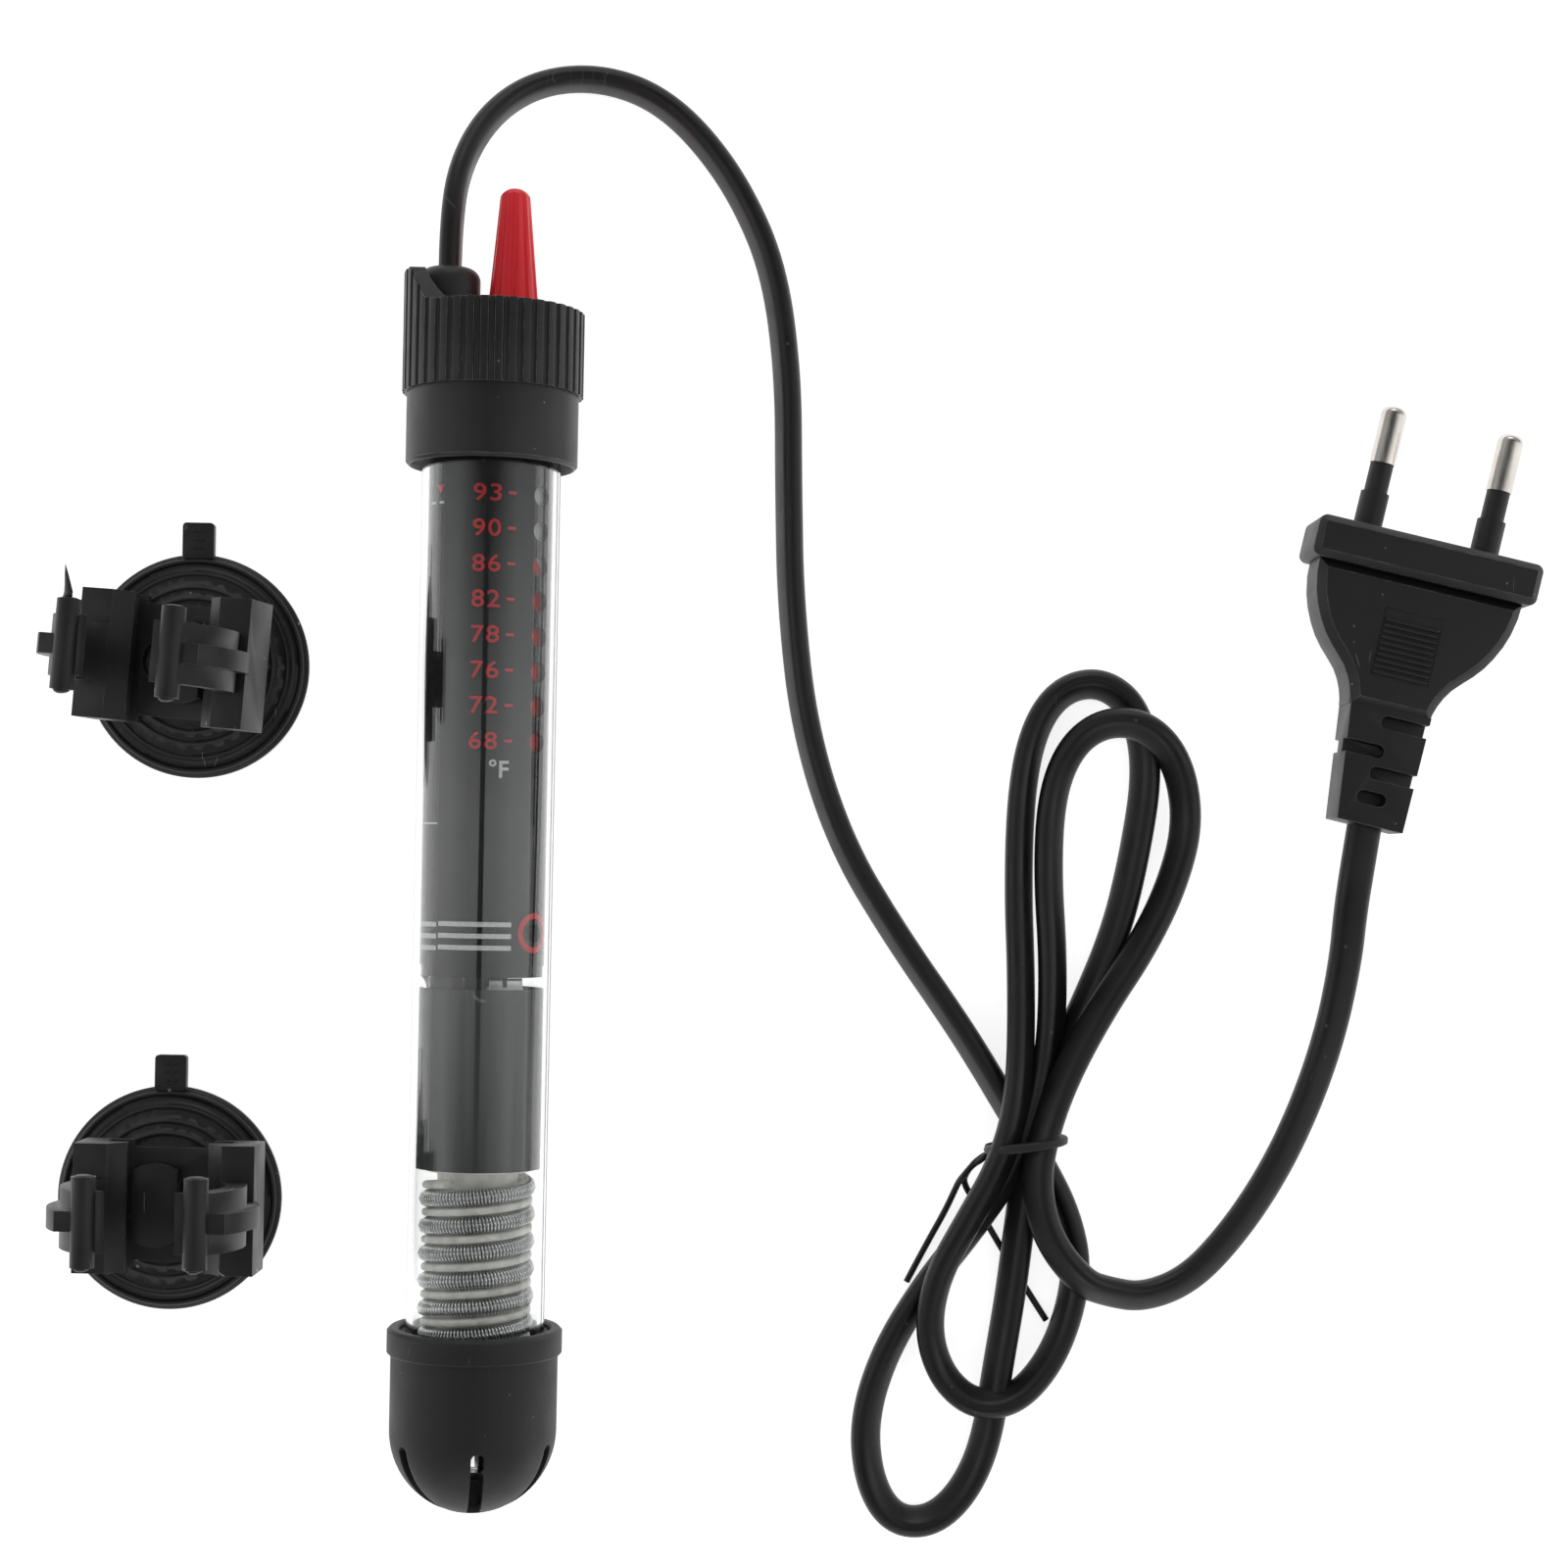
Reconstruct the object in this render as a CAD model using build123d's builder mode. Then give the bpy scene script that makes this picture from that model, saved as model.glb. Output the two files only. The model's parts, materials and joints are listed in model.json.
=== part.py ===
from build123d import *
import os
from math import cos, pi, radians, sin, tan

# Submersible aquarium heater with two suction-cup clips, a flat mains cord and its plug.
# Millimetres, +Z up, floor at z = 0. The heater lies along Y with its knob towards +Y.
# The origin is the bottom centre of the box round the heater and its two brackets.

os.makedirs("parts", exist_ok=True)

# ---------------------------------------------------------------- driving dimensions
heater_length = 200.8
heater_x = 26.75
rib_r = 13.7            # collar ribs, on which the heater lies
tube_r = 10.5           # glass tube
glass_wall = 1.0
tube_bore_r = tube_r - glass_wall
knob_dx = 2.8           # knob axis, right of the tube's axis
gland_dx = -6.9         # cord gland, left of the tube's axis

# Stations along the heater, from the guard's pole towards the knob
tube_tip = 5.0
guard_rim = 24.1
guard_mouth = 28.1
former_start = 17.0
coil_start = 20.0
coil_end = 51.6
former_end = 54.0
shield_start = 52.4
shield_end = 79.6
flange_start = 81.4
sleeve_start = 83.1
sleeve_end = 160.2
lamp_station = 88.1
window_low = 116.7      # window of the lowest temperature on the scale
window_high = 153.6
collar_start = 158.5
rib_start = 169.5
tube_top = 166.0
head_top = 180.5
collar_top = 182.0
ear_top = 187.5
gland_top = 188.6
knob_start = 181.2
window_count = 8
window_angle = 57.0     # from straight up towards the right

# Small fits
running = 0.05          # radial clearance of a turning or sliding fit
apart = 0.3             # clearance between pieces that move past each other
beyond = 1.0            # how far a cut runs past the face that it opens

# Brackets
cup_r = 17.5
clip_seat_r = tube_r + running
clip_seat_height = 13.0  # tube's axis above the clip's plate
plate_height = 9.0       # top of the clip's plate above the floor
upper_cup_at = (-20.2, 28.0)
lower_cup_at = (-22.9, -55.3)

# Cord and plug
cord_width = 5.4
cord_tube_r = 2.2        # round tube of the flat cord's section area
plug_at = (169.6, 47.1)  # centre of the plug's flange
plug_turn = 12.4         # clockwise from +Y
flange_width = 35.0
flange_height = 13.7
flange_depth = 6.4
pin_spacing = 18.5
pin_length = 19.4
pin_r = 2.0
pin_core_r = 1.2        # inside the plastic sleeve
pin_tip_round = 1.2
sleeve_foot_r = 2.2
sleeve_shank_r = 1.8
sleeve_step_y = 5.8
sleeve_end_y = 10.4

heater_z = rib_r
pole_y = -heater_length / 2
heater_axis = Axis((heater_x, pole_y, heater_z), (0, 1, 0))
knob_axis = Axis((heater_x + knob_dx, pole_y, heater_z), (0, 1, 0))


# ---------------------------------------------------------------- planes
def lengthwise(dx=0.0):
    """Plane through an axis of the heater: x is the radius and y the station."""
    return Plane(origin=(heater_x + dx, pole_y, heater_z), x_dir=(1, 0, 0), z_dir=(0, 0, 1))


def across(station, dx=0.0, dz=0.0):
    """Plane square to the heater's axis, facing the knob: x is right and y is down."""
    place = (heater_x + dx, pole_y + station, heater_z + dz)
    return Plane(origin=place, x_dir=(1, 0, 0), z_dir=(0, 1, 0))


def meridian(angle):
    """Plane through the heater's axis: x is outwards at an angle from straight up to the right."""
    a = radians(angle)
    return Plane(origin=(heater_x, pole_y, heater_z), x_dir=(sin(a), 0, cos(a)), z_dir=(-cos(a), 0, sin(a)))


def outwards(angle, station):
    """Plane on the heater's axis that faces outwards at an angle from straight up to the right."""
    a = radians(angle)
    return Plane(origin=(heater_x, pole_y + station, heater_z), x_dir=(0, 1, 0), z_dir=(sin(a), 0, cos(a)))


def ring(inner, outer, start, end, dx=0.0):
    """A plain turned ring or disc about an axis of the heater."""
    with BuildPart() as turned:
        with BuildSketch(across(start, dx)):
            Circle(outer)
            if inner > 0:
                Circle(inner, mode=Mode.SUBTRACT)
        extrude(amount=end - start)
    return turned


# ---------------------------------------------------------------- guard over the tube's end
guard_r = 12.65
guard_rim_r = 13.25
guard_bore_r = 11.4
slot_width = 2.0
slot_top = 11.2
slot_foot_r = 3.0
slot_angles = [10 + 60 * i for i in range(6)]
rim_step = 0.3          # bevel under the thicker rim and at the bore's mouth
rim_bevel = 0.5
ring_start = 24.9
ring_end = 27.3
pad_start = 1.7
pad_end = 4.8

with BuildPart() as guard:
    with BuildSketch(lengthwise()):
        with BuildLine():
            CenterArc((0, guard_r), guard_r, 270, 90)
            Polyline(
                (guard_r, guard_r),
                (guard_r, guard_rim),
                (guard_rim_r - rim_step, guard_rim),
                (guard_rim_r, guard_rim + rim_step),
                (guard_rim_r, guard_mouth - rim_bevel),
                (guard_rim_r - rim_bevel, guard_mouth),
                (guard_bore_r + rim_step, guard_mouth),
                (guard_bore_r, guard_mouth - rim_step),
                (guard_bore_r, guard_r),
            )
            CenterArc((0, guard_r), guard_bore_r, 270, 90)
            Line((0, 0), (0, guard_r - guard_bore_r))
        make_face()
    revolve(axis=heater_axis)
    for angle in slot_angles:
        with BuildSketch(meridian(angle)):
            with Locations((slot_foot_r, 0)):
                Rectangle(guard_r, slot_top - slot_width / 2, align=(Align.MIN, Align.MIN))
        extrude(amount=slot_width / 2, both=True, mode=Mode.SUBTRACT)
        with BuildSketch(outwards(angle, slot_top - slot_width / 2)):
            Circle(slot_width / 2)
        extrude(amount=guard_r + beyond, mode=Mode.SUBTRACT)
guard.part.label = "guard"
export_step(guard.part, "parts/guard.step")

guard_ring = ring(tube_r + running, guard_bore_r, ring_start, ring_end)
guard_ring.part.label = "guard_ring"
export_step(guard_ring.part, "parts/guard_ring.step")

guard_pad = ring(0, slot_foot_r, pad_start, pad_end)
guard_pad.part.label = "guard_pad"
export_step(guard_pad.part, "parts/guard_pad.step")

# ---------------------------------------------------------------- glass tube
with BuildPart() as glass_tube:
    with BuildSketch(lengthwise()):
        with BuildLine():
            CenterArc((0, tube_tip + tube_r), tube_r, 270, 90)
            Polyline(
                (tube_r, tube_tip + tube_r),
                (tube_r, tube_top),
                (tube_bore_r, tube_top),
                (tube_bore_r, tube_tip + tube_r),
            )
            CenterArc((0, tube_tip + tube_r), tube_bore_r, 270, 90)
            Line((0, tube_tip), (0, tube_tip + glass_wall))
        make_face()
    revolve(axis=heater_axis)
glass_tube.part.label = "glass_tube"
export_step(glass_tube.part, "parts/glass_tube.step")

# ---------------------------------------------------------------- heating element
rod_r = 2.0
rod_start = 12.0
rod_end = 84.8
former_bore_r = rod_r + running
former_core_r = 6.1
former_flange_r = 8.3
former_flange = 2.0     # thickness of the flange at each end
strand_d = 2.7
coil_r = 8.85

former_rod = ring(0, rod_r, rod_start, rod_end)
former_rod.part.label = "former_rod"
export_step(former_rod.part, "parts/former_rod.step")

with BuildPart() as ceramic_former:
    with BuildSketch(lengthwise()):
        with BuildLine():
            Polyline(
                (former_bore_r, former_start),
                (former_flange_r, former_start),
                (former_flange_r, former_start + former_flange),
                (former_core_r, former_start + former_flange),
                (former_core_r, former_end - former_flange),
                (former_flange_r, former_end - former_flange),
                (former_flange_r, former_end),
                (former_bore_r, former_end),
                close=True,
            )
        make_face()
    revolve(axis=heater_axis)
ceramic_former.part.label = "ceramic_former"
export_step(ceramic_former.part, "parts/ceramic_former.step")

# The coiled wire's outer shape: its helix touches the core and stands clear of the glass
heating_coil = ring(coil_r - strand_d, coil_r, coil_start, coil_end)
heating_coil.part.label = "heating_coil"
export_step(heating_coil.part, "parts/heating_coil.step")

shield_r = 9.4
shield_wall = 0.4
notch_width = 6.0
notch_length = 8.0      # centred on the shield's end
with BuildPart() as heat_shield:
    with BuildSketch(across(shield_start)):
        Circle(shield_r)
        Circle(shield_r - shield_wall, mode=Mode.SUBTRACT)
    extrude(amount=shield_end - shield_start)
    with BuildSketch(outwards(-90, shield_end)):
        Rectangle(notch_length, notch_width)
    extrude(amount=tube_r, mode=Mode.SUBTRACT)
heat_shield.part.label = "heat_shield"
export_step(heat_shield.part, "parts/heat_shield.step")

lead_r = 0.5
lead_places = [(-5.2, 3.2), (-5.2, -3.2)]
lead_clear = 0.1
lead_end = 86.0
with BuildPart() as coil_leads:
    with BuildSketch(across(former_end)):
        with Locations(*lead_places):
            Circle(lead_r)
    extrude(amount=lead_end - former_end)
coil_leads.part.label = "coil_leads"
export_step(coil_leads.part, "parts/coil_leads.step")

# ---------------------------------------------------------------- carrier under the scale sleeve
sleeve_r = 9.4
sleeve_wall = 0.4
carrier_r = 8.9
carrier_bore_r = 8.0
carrier_floor = 1.5
carrier_edge_x = -2.0    # the carrier is a shell on the left of this line
mains_lead_r = 0.6
mains_places = [(gland_dx, 1.4), (gland_dx, -1.4)]
mains_start = 89.1
gland_neck = 170.0
end_flange_r = 9.2
lug_place = (3.0, -6.8)
lug_width = 3.0
lug_height = 1.6
lug_length = 1.4

with BuildPart() as end_flange:
    with BuildSketch(across(flange_start)):
        Circle(end_flange_r)
        Circle(former_bore_r, mode=Mode.SUBTRACT)
        with Locations(*lead_places):
            Circle(lead_r + lead_clear, mode=Mode.SUBTRACT)
    extrude(amount=sleeve_start - flange_start)
    with BuildSketch(across(flange_start - lug_length)):
        with Locations(lug_place):
            Rectangle(lug_width, lug_height)
    extrude(amount=lug_length)
end_flange.part.label = "end_flange"
export_step(end_flange.part, "parts/end_flange.step")

with BuildPart() as carrier:
    with BuildSketch(across(sleeve_start)):
        Circle(carrier_r)
        Circle(former_bore_r, mode=Mode.SUBTRACT)
        with Locations(*lead_places):
            Circle(lead_r + lead_clear, mode=Mode.SUBTRACT)
    extrude(amount=carrier_floor)
    with BuildSketch(across(sleeve_start + carrier_floor)):
        Circle(carrier_r)
        Circle(carrier_bore_r, mode=Mode.SUBTRACT)
        with Locations((carrier_edge_x, 0)):
            Rectangle(2 * carrier_r, 2 * carrier_r, align=(Align.MIN, Align.CENTER), mode=Mode.SUBTRACT)
    extrude(amount=sleeve_end - sleeve_start - carrier_floor)
carrier.part.label = "carrier"
export_step(carrier.part, "parts/carrier.step")

window_r = 1.55
window_pitch = (window_high - window_low) / (window_count - 1)
with BuildPart() as scale_sleeve:
    with BuildSketch(across(sleeve_start)):
        Circle(sleeve_r)
        Circle(sleeve_r - sleeve_wall, mode=Mode.SUBTRACT)
    extrude(amount=sleeve_end - sleeve_start)
    window_stations = [window_low + window_pitch * i for i in range(window_count)]
    for station in window_stations + [lamp_station]:
        with BuildSketch(outwards(window_angle, station)):
            Circle(window_r)
        extrude(amount=sleeve_r + beyond, mode=Mode.SUBTRACT)
scale_sleeve.part.label = "scale_sleeve"
export_step(scale_sleeve.part, "parts/scale_sleeve.step")

spring_width = 4.0
spring_gauge = 0.3
spring_foot_x = -9.2
spring_belly_x = -8.0
spring_start = 77.0
spring_middle = 79.2
with BuildPart() as leaf_spring:
    with BuildSketch(lengthwise()):
        with BuildLine():
            ThreePointArc(
                (spring_foot_x, spring_start),
                (spring_belly_x, spring_middle),
                (spring_foot_x, flange_start),
            )
            ThreePointArc(
                (spring_foot_x + spring_gauge, spring_start),
                (spring_belly_x + spring_gauge, spring_middle),
                (spring_foot_x + spring_gauge, flange_start),
            )
            Line((spring_foot_x, spring_start), (spring_foot_x + spring_gauge, spring_start))
            Line((spring_foot_x, flange_start), (spring_foot_x + spring_gauge, flange_start))
        make_face()
    extrude(amount=spring_width / 2, both=True)
leaf_spring.part.label = "leaf_spring"
export_step(leaf_spring.part, "parts/leaf_spring.step")

with BuildPart() as mains_leads:
    with BuildSketch(across(mains_start)):
        with Locations(*mains_places):
            Circle(mains_lead_r)
    extrude(amount=gland_neck - mains_start)
mains_leads.part.label = "mains_leads"
export_step(mains_leads.part, "parts/mains_leads.step")

# ---------------------------------------------------------------- thermostat
base_top = -4.0          # heights here are measured from the heater's axis
base_bottom = -6.0
base_start = 86.0
base_end = 103.0
base_left = -4.8
base_right = 5.5
strip_left = -1.0
strip_right = 3.0
post_end = 90.0
post_top = -2.2
strip_start = 86.5
strip_end = 102.0
strip_bottom = -1.9
strip_top = -1.5
arm_start = 91.5
arm_end = 100.4
arm_top = -3.6
magnet_start = 100.8
magnet_end = 102.8
magnet_top = -2.8
contact_place = (heater_x + (strip_left + strip_right) / 2, pole_y + 99.0)
contact_r = 1.2
contact_thickness = 0.6


def slab(start, end, x_low, x_high, z_low, z_high):
    """A plain block inside the heater, placed by its faces; heights are from the heater's axis."""
    with BuildPart() as block:
        with BuildSketch(across(start)):
            with Locations((x_low, -z_high)):
                Rectangle(x_high - x_low, z_high - z_low, align=(Align.MIN, Align.MIN))
        extrude(amount=end - start)
    return block


thermostat_base = slab(base_start, base_end, base_left, base_right, base_bottom, base_top)
thermostat_base.part.label = "thermostat_base"
export_step(thermostat_base.part, "parts/thermostat_base.step")

bimetal_post = slab(base_start, post_end, strip_left, strip_right, base_top, post_top)
bimetal_post.part.label = "bimetal_post"
export_step(bimetal_post.part, "parts/bimetal_post.step")

bimetal_strip = slab(strip_start, strip_end, strip_left, strip_right, strip_bottom, strip_top)
bimetal_strip.part.label = "bimetal_strip"
export_step(bimetal_strip.part, "parts/bimetal_strip.step")

contact_arm = slab(arm_start, arm_end, strip_left, strip_right, base_top, arm_top)
contact_arm.part.label = "contact_arm"
export_step(contact_arm.part, "parts/contact_arm.step")

with BuildPart() as fixed_contact:
    with BuildSketch(Plane.XY.offset(heater_z + arm_top)):
        with Locations(contact_place):
            Circle(contact_r)
    extrude(amount=contact_thickness)
fixed_contact.part.label = "fixed_contact"
export_step(fixed_contact.part, "parts/fixed_contact.step")

with BuildPart() as moving_contact:
    with BuildSketch(Plane.XY.offset(heater_z + strip_bottom - contact_thickness)):
        with Locations(contact_place):
            Circle(contact_r)
    extrude(amount=contact_thickness)
moving_contact.part.label = "moving_contact"
export_step(moving_contact.part, "parts/moving_contact.step")

snap_magnet = slab(magnet_start, magnet_end, strip_left, strip_right, base_top, magnet_top)
snap_magnet.part.label = "snap_magnet"
export_step(snap_magnet.part, "parts/snap_magnet.step")

lamp_r = 1.9
lamp_place = (5.0, -3.2)
lamp_half_length = 3.3
lamp_round = 1.0
resistor_r = 1.1
resistor_start = 92.6
resistor_length = 6.0
with BuildPart() as indicator_lamp:
    with BuildSketch(across(lamp_station - lamp_half_length)):
        with Locations(lamp_place):
            Circle(lamp_r)
    extrude(amount=2 * lamp_half_length)
    fillet(indicator_lamp.edges().filter_by(GeomType.CIRCLE), lamp_round)
indicator_lamp.part.label = "indicator_lamp"
export_step(indicator_lamp.part, "parts/indicator_lamp.step")

with BuildPart() as lamp_resistor:
    with BuildSketch(across(resistor_start)):
        with Locations(lamp_place):
            Circle(resistor_r)
    extrude(amount=resistor_length)
lamp_resistor.part.label = "lamp_resistor"
export_step(lamp_resistor.part, "parts/lamp_resistor.step")

# ---------------------------------------------------------------- knob, spindle and setting drum
spindle_r = 1.5
spindle_start = 105.5
spindle_end = 192.0
drum_r = 5.9
drum_wall = 0.8
drum_start = 112.0
drum_end = 157.5
drum_head = 2.0         # thickness of the drum's closed end
bush_r = 2.6
seal_r = 2.4
knob_foot_r = 4.0
knob_taper = 4.6
flute_count = 10
flute_r = 0.7
flute_centre_r = 4.25
flute_turn = 18
dome_r = 2.4            # rounds the knob's tip
dome_flat_r = 1.05
dome_edge_r = 2.55
nut_width = 5.0
nut_height = 4.4
nut_start = 104.0
nut_floor = 1.0         # closes the nut's bore below the spindle
nut_end = 110.0

knob_spindle = ring(0, spindle_r, spindle_start, spindle_end, knob_dx)
knob_spindle.part.label = "knob_spindle"
export_step(knob_spindle.part, "parts/knob_spindle.step")

with BuildPart() as setting_drum:
    with BuildSketch(across(drum_start, knob_dx)):
        Circle(drum_r)
        Circle(drum_r - drum_wall, mode=Mode.SUBTRACT)
    extrude(amount=drum_end - drum_start)
    with BuildSketch(across(drum_end - drum_head, knob_dx)):
        Circle(drum_r)
        Circle(spindle_r, mode=Mode.SUBTRACT)
    extrude(amount=drum_head)
setting_drum.part.label = "setting_drum"
export_step(setting_drum.part, "parts/setting_drum.step")

with BuildPart() as control_knob:
    with BuildSketch(across(knob_start, knob_dx)):
        Circle(knob_foot_r)
        with PolarLocations(flute_centre_r, flute_count, start_angle=flute_turn):
            Circle(flute_r, mode=Mode.SUBTRACT)
    extrude(amount=heater_length - knob_start, taper=knob_taper)
    with BuildSketch(lengthwise(knob_dx)):
        with BuildLine():
            Polyline(
                (dome_flat_r, heater_length),
                (knob_foot_r + beyond, heater_length),
                (knob_foot_r + beyond, heater_length - dome_r),
                (dome_edge_r, heater_length - dome_r),
            )
            RadiusArc((dome_edge_r, heater_length - dome_r), (dome_flat_r, heater_length), -dome_r)
        make_face()
    revolve(axis=knob_axis, mode=Mode.SUBTRACT)
    with BuildSketch(across(knob_start, knob_dx)):
        Circle(spindle_r)
    extrude(amount=spindle_end - knob_start, mode=Mode.SUBTRACT)
control_knob.part.label = "control_knob"
export_step(control_knob.part, "parts/control_knob.step")

with BuildPart() as adjuster_nut:
    with BuildSketch(across(nut_start + nut_floor, knob_dx)):
        Rectangle(nut_width, nut_height)
        Circle(spindle_r + running, mode=Mode.SUBTRACT)
    extrude(amount=nut_end - nut_start - nut_floor)
    with BuildSketch(across(nut_start, knob_dx)):
        Rectangle(nut_width, nut_height)
    extrude(amount=nut_floor)
adjuster_nut.part.label = "adjuster_nut"
export_step(adjuster_nut.part, "parts/adjuster_nut.step")

# ---------------------------------------------------------------- head: plug, seals, gland, collar
head_r = 11.6
neck_r = 9.45
neck_start = 160.5
groove_floor_r = 8.6
groove_start = 162.0
groove_end = 164.0
head_bevel = 0.6
seal_start = 169.6
bush_start = 172.0
gland_r = 4.65
gland_neck_r = 3.2
gland_round = 1.9

with BuildPart() as head_plug:
    with BuildSketch(lengthwise()):
        with BuildLine():
            Polyline(
                (0, neck_start),
                (neck_r, neck_start),
                (neck_r, groove_start),
                (groove_floor_r, groove_start),
                (groove_floor_r, groove_end),
                (neck_r, groove_end),
                (neck_r, tube_top),
                (head_r, tube_top),
                (head_r, head_top - head_bevel),
                (head_r - head_bevel, head_top),
                (0, head_top),
                close=True,
            )
        make_face()
    revolve(axis=heater_axis)
    with BuildSketch(across(gland_neck, gland_dx)):
        Circle(gland_neck_r)
    extrude(amount=head_top - gland_neck, mode=Mode.SUBTRACT)
    with BuildSketch(across(sleeve_end)):
        with Locations(*mains_places):
            Circle(mains_lead_r)
    extrude(amount=gland_neck - sleeve_end, mode=Mode.SUBTRACT)
    with BuildSketch(across(sleeve_end, knob_dx)):
        Circle(spindle_r + apart)
    extrude(amount=head_top - sleeve_end, mode=Mode.SUBTRACT)
    with BuildSketch(across(seal_start, knob_dx)):
        Circle(seal_r)
    extrude(amount=bush_start - seal_start, mode=Mode.SUBTRACT)
    with BuildSketch(across(bush_start, knob_dx)):
        Circle(bush_r)
    extrude(amount=head_top - bush_start, mode=Mode.SUBTRACT)
head_plug.part.label = "head_plug"
export_step(head_plug.part, "parts/head_plug.step")

stopper_seal = ring(groove_floor_r, tube_bore_r, groove_start, groove_end)
stopper_seal.part.label = "stopper_seal"
export_step(stopper_seal.part, "parts/stopper_seal.step")

spindle_seal = ring(spindle_r + running, seal_r, seal_start, bush_start, knob_dx)
spindle_seal.part.label = "spindle_seal"
export_step(spindle_seal.part, "parts/spindle_seal.step")

spindle_bush = ring(spindle_r + running, bush_r, bush_start, head_top, knob_dx)
spindle_bush.part.label = "spindle_bush"
export_step(spindle_bush.part, "parts/spindle_bush.step")

with BuildPart() as cord_gland:
    with BuildSketch(across(gland_neck, gland_dx)):
        Circle(gland_neck_r)
    extrude(amount=head_top - gland_neck)
    with BuildSketch(across(head_top, gland_dx)):
        Circle(gland_r)
    extrude(amount=gland_top - head_top)
    fillet(cord_gland.faces().sort_by(Axis.Y)[-1].edges(), gland_round)
cord_gland.part.label = "cord_gland"
export_step(cord_gland.part, "parts/cord_gland.step")

skirt_r = 13.0
collar_bore_r = 11.7
collar_seat_r = tube_r + 0.1
rib_count = 40
groove_r = 0.5
groove_centre_r = 13.8
skirt_bevel = 0.5
lip_r = 12.3            # bell mouth round the tube
lip_length = 1.6
seat_start = 160.9
ear_foot_half = 10.2
ear_top_half = 6.4

with BuildPart() as collar:
    with BuildSketch(across(collar_start)):
        Circle(skirt_r)
    extrude(amount=rib_start - collar_start)
    chamfer(collar.faces().sort_by(Axis.Y)[0].edges(), skirt_bevel)
    with BuildSketch(across(rib_start)):
        Circle(rib_r)
        with PolarLocations(groove_centre_r, rib_count, start_angle=360 / rib_count / 2):
            Circle(groove_r, mode=Mode.SUBTRACT)
    extrude(amount=ear_top - rib_start)
    with BuildSketch(lengthwise()):
        with BuildLine():
            Polyline(
                (0, collar_start - beyond),
                (lip_r, collar_start - beyond),
                (lip_r, collar_start),
                (collar_bore_r, collar_start + lip_length),
                (collar_seat_r, seat_start),
                (collar_seat_r, tube_top),
                (collar_bore_r, tube_top),
                (collar_bore_r, ear_top + beyond),
                (0, ear_top + beyond),
                close=True,
            )
        make_face()
    revolve(axis=heater_axis, mode=Mode.SUBTRACT)
    with BuildSketch(across(collar_top)):
        Rectangle(rib_r + beyond, 2 * (rib_r + beyond), align=(Align.MIN, Align.CENTER))
    extrude(amount=ear_top + beyond - collar_top, mode=Mode.SUBTRACT)
    # The ear's flanks slope down to the rim on the gland's side
    with BuildSketch(Plane(origin=(heater_x, pole_y, heater_z), x_dir=(0, 1, 0), z_dir=(-1, 0, 0))):
        with BuildLine():
            Polyline(
                (collar_top, ear_foot_half),
                (ear_top, ear_top_half),
                (ear_top + beyond, ear_top_half),
                (ear_top + beyond, rib_r + beyond),
                (collar_top, rib_r + beyond),
                close=True,
            )
        make_face()
        mirror(about=Plane.XZ)
    extrude(amount=rib_r + beyond, mode=Mode.SUBTRACT)
collar.part.label = "collar"
export_step(collar.part, "parts/collar.step")


# ---------------------------------------------------------------- suction cups and clips
def clip_frame(place, shift, turn, lean):
    """Top of a clip's plate: turned clockwise from above, leaned to the left, moved along its slot."""
    t = radians(turn)
    n = radians(lean)
    right = Vector(cos(t), -sin(t), 0)
    up = Vector(0, 0, 1)
    z_dir = up * cos(n) - right * sin(n)
    x_dir = right * cos(n) + up * sin(n)
    origin = Vector(place[0], place[1], plate_height) + right * shift
    return Plane(origin=origin, x_dir=x_dir, z_dir=z_dir)


upper_shift = -0.9
upper_turn = 4.0
upper_lean = 11.0
lower_shift = 2.4
upper_frame = clip_frame(upper_cup_at, upper_shift, upper_turn, upper_lean)
lower_frame = clip_frame(lower_cup_at, lower_shift, 0, 0)
stem_r = 3.25
head_long_r = 6.4
head_half_width = 3.5
head_thickness = 2.2
ring_radii = [16.4, 14.3, 12.1, 10.3]
bead_r = 0.42           # section of a raised ring
slope_start_r = 15.4    # the cup's top rises inwards from here
slope_rise = 0.375
bead_height = 1.3
stem_start = 4.6
tab_width = 4.9
tab_length = 5.6
tab_offset = 19.6
tab_bottom = 0.25
tab_thickness = 1.5
tab_round = 0.6


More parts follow.
